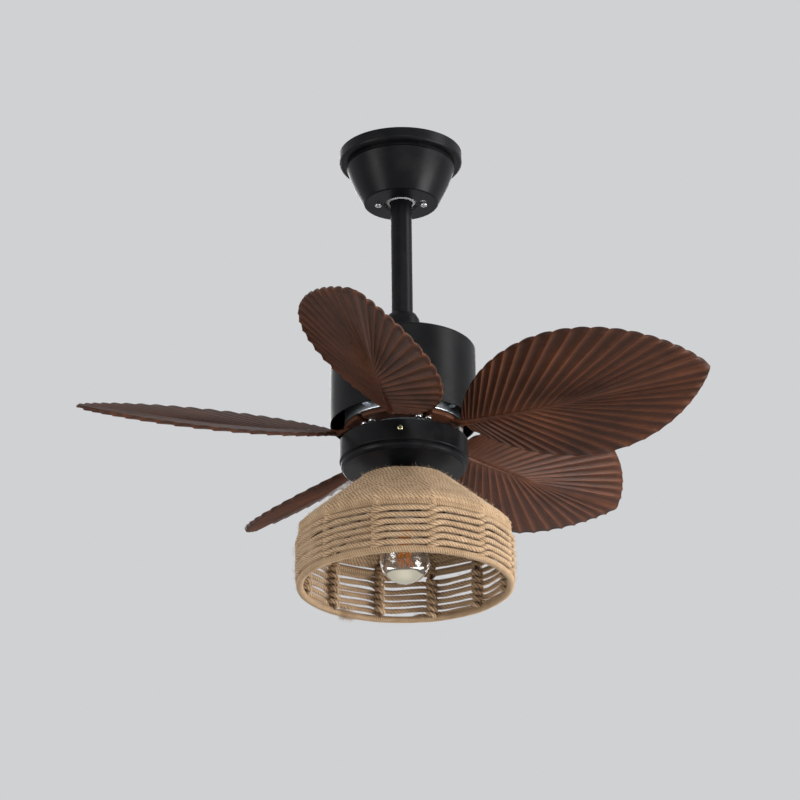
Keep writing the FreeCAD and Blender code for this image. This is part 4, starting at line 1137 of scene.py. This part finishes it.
    def tab(self, azimuth: float) -> Surface:
        """Ring sector with rounded edges: a squared-off round carried about the axis, closed at both ends.

        Args:
            azimuth: The blade's azimuth in degrees.

        Returns:
            The closed sector.
        """
        stations, sides, squareness = 49, 32, 0.28
        turn = np.radians(
            azimuth + self.skew + np.linspace(-self.tab_half_angle, self.tab_half_angle, stations)
        )
        turn[[0, -1]] = turn[[1, -2]]
        a = round_angles(sides)
        full = drawn_in(np.ones(stations))[:, None]
        deep, high = (self.tab_outer_r - self.tab_inner_r) / 2, (self.tab_top_z - self.tab_low_z) / 2
        r = self.tab_inner_r + deep + squared_off(np.cos(a), squareness) * deep * full
        z = self.tab_low_z + high + squared_off(np.sin(a), squareness) * high * full
        points = around_axis(r, turn[:, None], z)
        marks = {"ridge": np.full(r.shape, 0.5), "along": r, "across": r * (turn - turn[0])[:, None]}
        return Surface(points, turn, round_shares(sides), wrap_columns=True, marks=marks)

    def build(self) -> None:
        """Make and dress the blades."""
        for k in range(self.count):
            azimuth = self.phase + 360 / self.count * k
            surfaces = [self.half_leaf(*half, azimuth) for half in self.halves]
            surfaces += [self.midrib(azimuth), self.tab(azimuth)]
            piece = build_mesh(f"leaf_blade_{k + 1}", surfaces)
            dress(piece, WALNUT, Body.ROTOR, "leaf_brown", f"blade_{k + 1}")


@dataclass(frozen=True)
class Fuzz:
    """A draw of loose fibres; short ones are the most common."""

    count: int
    seed: int
    longest: float = 6.0 * MM
    shortest: float = 1.0 * MM
    hair_r: float = 0.15 * MM


@dataclass
class RopeShade:
    """Jute rope on a wire cage: a close-wound cone, an open skirt and two cord-bound rings."""

    ribs: int = 12
    rib_phase: float = 15.0
    rib_r: float = 1.5 * MM
    skirt_r: float = 119 * MM
    top_r: float = 46 * MM
    top_z: float = -430.0 * MM
    corner_z: float = -490.4 * MM
    shoulder_z: float = -496.5 * MM
    bottom_z: float = -553.0 * MM
    ring_r: float = 122 * MM
    binding_r: float = 3.9 * MM
    binding_wraps: int = 270
    rope_r: float = 3.05 * MM
    cone_rope_r: float = 3.56 * MM
    lashing_r: float = 2.5 * MM
    lashing_turns: int = 3
    lashing_deep: float = 5.4 * MM
    lashing_wide: float = 3.3 * MM
    lashing_inset: float = 0.4 * MM
    lashing_above: float = 9 * MM
    lashing_drop: float = 15 * MM
    splice_span: tuple = (119.0, 131.0)
    splice_points: int = 160
    lay: float = 17.0 * MM
    strands: int = 4
    rows: int = 6
    rows_seed: int = 11
    unevenness: float = 0.55 * MM
    wander: float = 0.35 * MM
    cone_turns: int = 15
    cone_start: float = 60.0
    step: float = 1.7 * MM
    cone_straightness: float = 0.75
    shoulder_straightness: float = 0.55
    bottom_straightness: float = 0.15
    skirt_fuzz: Fuzz = Fuzz(5200, seed=3)
    cone_fuzz: Fuzz = Fuzz(6400, seed=5)
    splice_fuzz: Fuzz = Fuzz(520, seed=8, longest=7.0 * MM)

    def rib_azimuths(self) -> Array:
        """Azimuths of the ribs in radians."""
        return np.radians(self.rib_phase + 360 / self.ribs * np.arange(self.ribs))

    def pulled(self, azimuth: Array, straightness: float) -> Array:
        """Factor on a radius that pulls a ring towards straight chords between the ribs.

        A chord's factor is cos(half step) / cos(angle from mid-chord).

        Args:
            azimuth: Azimuths on the ring in radians.
            straightness: 0 for a circle, 1 for straight chords.

        Returns:
            The factors.
        """
        half = math.pi / self.ribs
        from_chord = (azimuth - math.radians(self.rib_phase)) % (2 * half) - half
        return 1 + straightness * (math.cos(half) / np.cos(from_chord) - 1)

    def skirt_knots(self) -> Array:
        """Knots of the skirt's rope: row by row, one hitch at every rib.

        A hitch passes outside its rib, turns in behind it while it drops, comes out on the near side and
        crosses back over itself, so the chords between ribs are straight. Each row is level but for a slight
        unevenness of the hand work, and at the back the rope sinks one pitch to the next row over seven
        chords. Both ends are tucked into the bound rings.

        Returns:
            Control points in the order that the rope is wound.
        """
        hitch = np.array([
            (-17, 4.6, 0.0), (-9, 4.7, 0.1), (-1, 4.9, 0.8), (3.6, 3.0, 1.7), (4.0, -1.5, 1.0),
            (0.9, -4.7, -1.2), (-2.7, -4.0, -3.2), (-4.2, 0.4, -4.4), (-3.4, 5.2, -4.4), (0.2, 7.8, -3.0),
            (6.0, 6.9, -1.0), (11, 5.2, -0.1), (18, 4.6, 0.0),
        ]) * MM
        on_chord = np.array([1, 1, 0.4, 0, 0, 0, 0, 0, 0, 0, 0.4, 1, 1]) * self.unevenness
        sunk_eighths = np.array([-3, -2, -1, 0, 0, 0, 0, 0, 0, 1, 2, 3])
        tuck = np.array([0.36, 0.28, 0.2])
        top = self.shoulder_z - self.binding_r
        low = self.bottom_z + self.binding_r
        pitch = (top - low) / self.rows
        a = self.rib_azimuths() + math.pi / 2
        along = around_axis(1.0, a + math.pi / 2, 0.0)
        outward = around_axis(1.0, a, 0.0)
        rows_down = np.arange(self.rows)[:, None] + 0.5 + sunk_eighths / 8
        level = (top - pitch * rows_down)[..., None]
        rng = np.random.default_rng(self.rows_seed)
        uneven = rng.normal(0.0, 1.0, (self.rows, self.ribs, 1)) * on_chord
        knots = (
            outward[None, :, None, :] * (self.skirt_r + hitch[None, None, :, 1:2])
            + along[None, :, None, :] * hitch[None, None, :, 0:1]
        )
        knots = np.repeat(knots, self.rows, axis=0)
        knots[..., 2] = level + uneven + hitch[None, None, :, 2]
        start = around_axis(self.ring_r, a[0] - tuck, self.shoulder_z)
        end = around_axis(self.ring_r, a[-1] + tuck[::-1], self.bottom_z)
        return np.vstack([start, knots.reshape(-1, 3), end])

    def cone_path(self) -> Array:
        """Path of the cone's rope: it circles the slope at a steady rate, nearly straight between the ribs.

        The share of the slope grows evenly along the rope until the last turn, which lies level on the
        shoulder ring; lower turns are drawn up a little towards the back, and the hand work wanders.

        Returns:
            Points on the rope's middle.
        """
        per_turn = 330
        first, rate, last = 0.02, 1.12, 1.085
        lift, lifted_from = 0.08, 0.3
        wander_rate, unsteady, unsteady_rate = 7.3, 2.0, 1.7
        slope = math.atan2(self.skirt_r - self.top_r, self.top_z - self.corner_z)
        off = self.rib_r + self.cone_rope_r
        t = np.linspace(0, 1, self.cone_turns * per_turn)
        a = math.radians(self.cone_start) + TURN * self.cone_turns * t
        lower = np.clip((t - lifted_from) / (1 - lifted_from), 0, 1)
        share = np.minimum(first + rate * t, last) - lift * lower * np.maximum(0, np.sin(a))
        spread = np.minimum(share, 1.0)
        radius = self.top_r + off * math.cos(slope) + (self.skirt_r - self.top_r) * spread
        z = self.top_z + off * math.sin(slope) - (self.top_z - self.corner_z) * share
        wander = self.wander * np.sin(a * wander_rate + unsteady * np.sin(a * unsteady_rate))
        return around_axis(radius * self.pulled(a, self.cone_straightness), a, z + wander)

    def lashing(self, azimuth: float) -> Array:
        """Path of the rope that lashes a rib to the shoulder ring.

        An upright oval coil about the rib: the radius swings by one half axis, the way along the ring by the
        other, while the level falls steadily.

        Args:
            azimuth: The rib's azimuth in radians.

        Returns:
            Points on the rope's middle.
        """
        per_turn = 40
        t = np.linspace(0, 1, self.lashing_turns * per_turn)
        swing = math.pi + TURN * self.lashing_turns * t
        radial = self.skirt_r - self.lashing_inset + self.lashing_deep * np.cos(swing)
        across = self.lashing_wide * np.sin(swing)
        z = self.shoulder_z + self.lashing_above - self.lashing_drop * t
        x = radial * math.cos(azimuth) - across * math.sin(azimuth)
        y = radial * math.sin(azimuth) + across * math.cos(azimuth)
        return np.stack([x, y, z], -1)

    def binding(self, z: float, straightness: float) -> Surface:
        """Cord bound round a ring: a tube whose radius swells once per wrap, the wraps slanting as one helix.

        Args:
            z: The ring's level.
            straightness: How far the ring is pulled straight between the ribs, from 0 to 1.

        Returns:
            The bound ring.
        """
        per_wrap, sides, slant = 6, 24, 3
        core, swelling, swell_power = 0.8, 0.28, 0.8
        u_per_wrap, v_round = 0.4, 0.02
        wraps = self.binding_wraps
        a = round_angles(wraps * per_wrap)
        b = round_angles(sides)
        path = around_axis(self.ring_r * self.pulled(a, straightness), a, z)
        _, side, crown, _ = carried(path, closed=True)
        # The swell also marks the crowns, for the cord finish's painted highlight on the wraps and painted
        # shade between them.
        swell = np.abs(np.sin((a[:, None] * wraps + slant * b) / 2)) ** swell_power
        points = swept(path, side, crown, self.binding_r * (core + swelling * swell), b)
        u = round_shares(len(a)) * wraps * u_per_wrap
        return Surface(points, u, round_shares(sides) * v_round, True, True, {"crown": swell})

    def fibres(self, path: Array, rope_r: float, fuzz: Fuzz) -> Surface:
        """Loose fibres that leave the rope: thin curved hairs, three-sided, each a run of one grid.

        A hair leaves the skin outwards, leans along the rope and curls sideways with the square of its
        length.

        Args:
            path: Points of a rope's middle.
            rope_r: The rope's radius.
            fuzz: The draw of the fibres.

        Returns:
            The fibres, one row of points per station of each hair.
        """
        stations, sides, clear_ends = 5, 3, 20
        rooted, leaning, curling, tilt, u_step = 0.85, 1.2, 0.6, 0.3, 0.01
        thickness = fuzz.hair_r * np.array([0.0, 1.0, 1.0, 0.7, 0.0])
        count = fuzz.count
        rng = np.random.default_rng(fuzz.seed)
        heading, side, crown, _ = carried(path)
        at = rng.integers(clear_ends, len(path) - clear_ends, count)
        around = rng.uniform(0, TURN, count)
        out = np.cos(around)[:, None] * side[at] + np.sin(around)[:, None] * crown[at]
        lean = heading[at] * rng.uniform(-leaning, leaning, count)[:, None]
        curl = unit(np.cross(out, heading[at])) * rng.uniform(-curling, curling, count)[:, None]
        reach = fuzz.shortest + (fuzz.longest - fuzz.shortest) * rng.uniform(0.0, 1.0, count)[:, None] ** 2
        t = np.linspace(0, 1, stations)[None, :, None]
        base = path[at] + out * rope_r * rooted
        way = t * (out + lean)[:, None, :] + t ** 2 * curl[:, None, :]
        line = base[:, None, :] + reach[:, None, :] * way
        b = round_angles(sides)
        across = unit(np.cross(out + lean, curl + heading[at] * tilt))
        other = unit(np.cross(out + lean, across))
        ring = np.cos(b)[None, :, None] * across[:, None, :] + np.sin(b)[None, :, None] * other[:, None, :]
        points = line[:, :, None, :] + thickness[None, :, None, None] * ring[:, None, :, :]
        rows = count * stations
        return Surface(
            points.reshape(rows, sides, 3), np.arange(rows) * u_step, round_shares(sides),
            wrap_columns=True, marks={"crown": np.ones((rows, sides))}, run=stations,
        )

    def rope(self, path: Array, radius: float) -> Surface:
        """The shade's rope along a path."""
        return laid_rope(path, radius, self.lay, self.strands)

    def build(self) -> None:
        """Make and dress the shade's ropes, fibres and bindings."""
        skirt = smooth_path(self.skirt_knots(), self.step)
        cone = self.cone_path()
        coils = [self.rope(self.lashing(a), self.lashing_r) for a in self.rib_azimuths()]
        shoulder = self.binding(self.shoulder_z, self.shoulder_straightness)
        bottom = self.binding(self.bottom_z, self.bottom_straightness)
        splice_turn = np.radians(np.linspace(*self.splice_span, self.splice_points))
        splice = around_axis(self.ring_r, splice_turn, self.bottom_z)
        pieces: tuple[tuple[str, Finish, list[Surface], tuple], ...] = (
            ("skirt_rope", ROPE, [self.rope(skirt, self.rope_r)], ("shade_skirt_rope",)),
            ("shoulder_lashings", ROPE, coils, ()),
            ("cone_rope", ROPE, [self.rope(cone, self.cone_rope_r)], ("shade_cone_rope",)),
            ("skirt_fibres", ROPE, [self.fibres(skirt, self.rope_r, self.skirt_fuzz)], ()),
            ("cone_fibres", ROPE, [self.fibres(cone, self.cone_rope_r, self.cone_fuzz)], ()),
            ("shoulder_binding", CORD, [shoulder], ("shade_shoulder_binding",)),
            ("bottom_binding", CORD, [bottom], ("shade_bottom_binding",)),
            ("splice_tuft", CORD, [self.fibres(splice, self.binding_r, self.splice_fuzz)], ()),
        )
        for name, finish, surfaces, nodes in pieces:
            dress(build_mesh(name, surfaces), finish, Body.DROP, "jute", *nodes)


@dataclass
class Lamp:
    """Globe bulb with a silvered bowl and amber filaments."""

    globe_r: float = 29.25 * MM
    globe_z: float = -521.25 * MM
    neck_r: float = 13.6 * MM
    neck_z: float = -468.0 * MM
    blend: float = 55.0
    wall: float = 0.8 * MM
    strip_r: float = 1.08 * MM
    coil_r: float = 1.62 * MM
    coil_turns: int = 2
    filament_top_r: float = 4.5 * MM
    filament_low_r: float = 8.0 * MM
    filament_top_z: float = -486.0 * MM
    filament_low_z: float = -531.0 * MM
    filaments: int = 8

    def outline(self, inset: float) -> Array:
        """Half outline from the neck to the pole.

        An arc leaves the neck upright and meets the globe's arc at the blend angle.

        Args:
            inset: Distance inside the outer skin.

        Returns:
            Points (radius, level).
        """
        neck_points, globe_points = 15, 40
        radius = self.globe_r - inset
        globe_a = np.linspace(math.radians(self.blend), math.pi, globe_points)
        globe = np.stack([radius * np.sin(globe_a), self.globe_z + radius * np.cos(globe_a)], -1)
        start = np.array([self.neck_r - inset, self.neck_z])
        chord = globe[0] - start
        bend_r = chord @ chord / (2 * chord[0])
        sweep = 2 * math.atan2(chord[0], -chord[1])
        b = np.linspace(0, sweep, neck_points + 1)[:-1]
        neck = np.stack([start[0] + bend_r * (1 - np.cos(b)), start[1] - bend_r * np.sin(b)], -1)
        return np.vstack([neck, globe])

    def filament(self, azimuth: float) -> Array:
        """Path of one filament: a loose coil about a line that leans out as it falls.

        Args:
            azimuth: The filament's azimuth in radians.

        Returns:
            Points on the filament's middle.
        """
        stations = 60
        z = np.linspace(self.filament_top_z, self.filament_low_z, stations)
        coil = np.linspace(0, TURN * self.coil_turns, stations)
        spread = np.linspace(self.filament_top_r, self.filament_low_r, stations)
        x = spread * math.cos(azimuth) + self.coil_r * np.cos(coil)
        y = spread * math.sin(azimuth) + self.coil_r * np.sin(coil)
        return np.stack([x, y, z], -1)

    def strip(self, path: Array) -> Surface:
        """Round strip along an almost upright path, on fixed X and Y directions, drawn in at its ends.

        Args:
            path: Points on the strip's middle.

        Returns:
            The strip's skin.
        """
        sides = 8
        reach = drawn_in(np.full(len(path), self.strip_r))
        ring = around_axis(1.0, round_angles(sides), 0.0)
        points = path[:, None, :] + reach[:, None, None] * ring[None]
        return Surface(points, np.arange(len(path)) * 1.0, round_shares(sides), wrap_columns=True)

    def build(self) -> None:
        """Make and dress the bulb's glass and filaments."""
        profile = np.vstack([self.outline(0.0), self.outline(self.wall)[::-1]])
        glass = build_mesh("bulb_globe", [turned_profile(profile)])
        dress(glass, GLASS, Body.DROP, "lamp_glass", "bulb_glass")
        azimuths = TURN * (np.arange(self.filaments) + 0.5) / self.filaments
        wires = build_mesh("amber_filaments", [self.strip(self.filament(a)) for a in azimuths])
        dress(wires, AMBER, Body.DROP, "filament", "bulb_filaments")


@dataclass
class Studio:
    """Camera at the photograph's place, soft light, pale surroundings and floor."""

    position: tuple = (0.0, -3.6949, -1.8722)
    pitch: float = 22.76
    yaw: float = -0.06
    roll: float = -0.63
    lens: float = 153.36
    sensor: float = 36.0
    sight: float = 60.0
    floor_z: float = -4.6
    floor_half: float = 14.0
    floor_lines: int = 9
    floor_colours: tuple = ((0.66, 0.66, 0.67), (0.7, 0.7, 0.71))
    floor_glow: tuple = (0.3, 0.3, 0.31)
    floor_cloud: float = 1.5
    floor_roughness: float = 0.8
    background: tuple = (0.63, 0.637, 0.652)
    ambient: tuple = (0.4, 0.41, 0.42)
    aim: tuple = (0, 0, -0.35)
    lamps: tuple = (
        ("window_right", (2.7, -0.9, -1.4), (1.6, 1.8), 108.0),
        ("window_left", (-2.6, -1.6, -0.9), (1.0, 1.8), 38.0),
        ("room_back", (-0.3, 3.0, 0.8), (2.2, 1.6), 40.0),
        ("room_front", (0.6, -3.4, 0.3), (2.4, 1.2), 28.0),
        ("high_right", (2.75, -0.8, 1.0), (1.2, 1.2), 28.0),
    )

    def camera(self) -> None:
        """Place the camera from its pitch, yaw and roll."""
        p, y, r = (math.radians(a) for a in (self.pitch, self.yaw, self.roll))
        ahead = Vector((math.sin(y) * math.cos(p), math.cos(y) * math.cos(p), math.sin(p)))
        right = Vector((math.cos(y), -math.sin(y), 0.0))
        up = right.cross(ahead)
        rolled_right = right * math.cos(r) + up * math.sin(r)
        rolled_up = up * math.cos(r) - right * math.sin(r)
        data = bpy.data.cameras.new("photo_camera")
        data.lens = self.lens
        data.sensor_width = self.sensor
        data.clip_end = self.sight
        camera = bpy.data.objects.new("photo_camera", data)
        axes = (rolled_right, rolled_up, -ahead, Vector(self.position))
        camera.matrix_world = Matrix((*zip(*axes), (0, 0, 0, 1)))
        bpy.context.scene.collection.objects.link(camera)
        bpy.context.scene.camera = camera

    def lamp(self, name: str, place: tuple, size: tuple, watts: float) -> None:
        """Rectangular soft light aimed at the fan.

        Args:
            name: The light's name.
            place: Where it stands.
            size: Its two sides.
            watts: Its power.
        """
        data = bpy.data.lights.new(name, "AREA")
        data.shape = "RECTANGLE"
        data.size, data.size_y = size
        data.energy = watts
        light = bpy.data.objects.new(name, data)
        light.location = place
        light.rotation_euler = (Vector(self.aim) - Vector(place)).to_track_quat("-Z", "Y").to_euler()
        bpy.context.scene.collection.objects.link(light)

    def floor(self) -> None:
        """Plain pale floor, a little lighter to the rays that see the surroundings."""
        line = np.linspace(-self.floor_half, self.floor_half, self.floor_lines)
        x, y = np.meshgrid(line, line, indexing="ij")
        sheet = Surface(np.stack([x, y, np.full_like(x, self.floor_z)], -1), line, line)
        floor = build_mesh("pale_floor", [sheet])
        shader = Shader("pale_floor")
        cloud = shader.noise(shader.place(), self.floor_cloud)
        shader.set(
            base_color=shader.mix(cloud, *self.floor_colours),
            emission_color=shader.mix(shader.seen(), (0.0, 0.0, 0.0), self.floor_glow),
            emission_strength=1.0,
            roughness=self.floor_roughness,
        )
        floor.data.materials.append(shader.material)

    def build(self) -> None:
        """Set up view, surroundings, floor and lights."""
        bpy.context.scene.view_settings.view_transform = "Standard"
        self.camera()
        bpy.context.scene.world = Surroundings("pale_room", self.ambient, self.background).world
        self.floor()
        for lamp in self.lamps:
            self.lamp(*lamp)


def dress_nodes() -> None:
    """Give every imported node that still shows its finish."""
    for name, finish in NODE_FINISHES.items():
        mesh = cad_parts[name].data
        mesh.materials.clear()
        mesh.materials.append(finish.material())
        LOG.info("%s: %s", name, finish.name)


def main() -> None:
    """Build the fan's looks in order."""
    logging.basicConfig(level=logging.INFO, format="%(message)s")
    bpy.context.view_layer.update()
    dress_nodes()
    LeafBlades().build()
    RopeShade().build()
    Lamp().build()
    Studio().build()


if __name__ == "__main__":
    main()
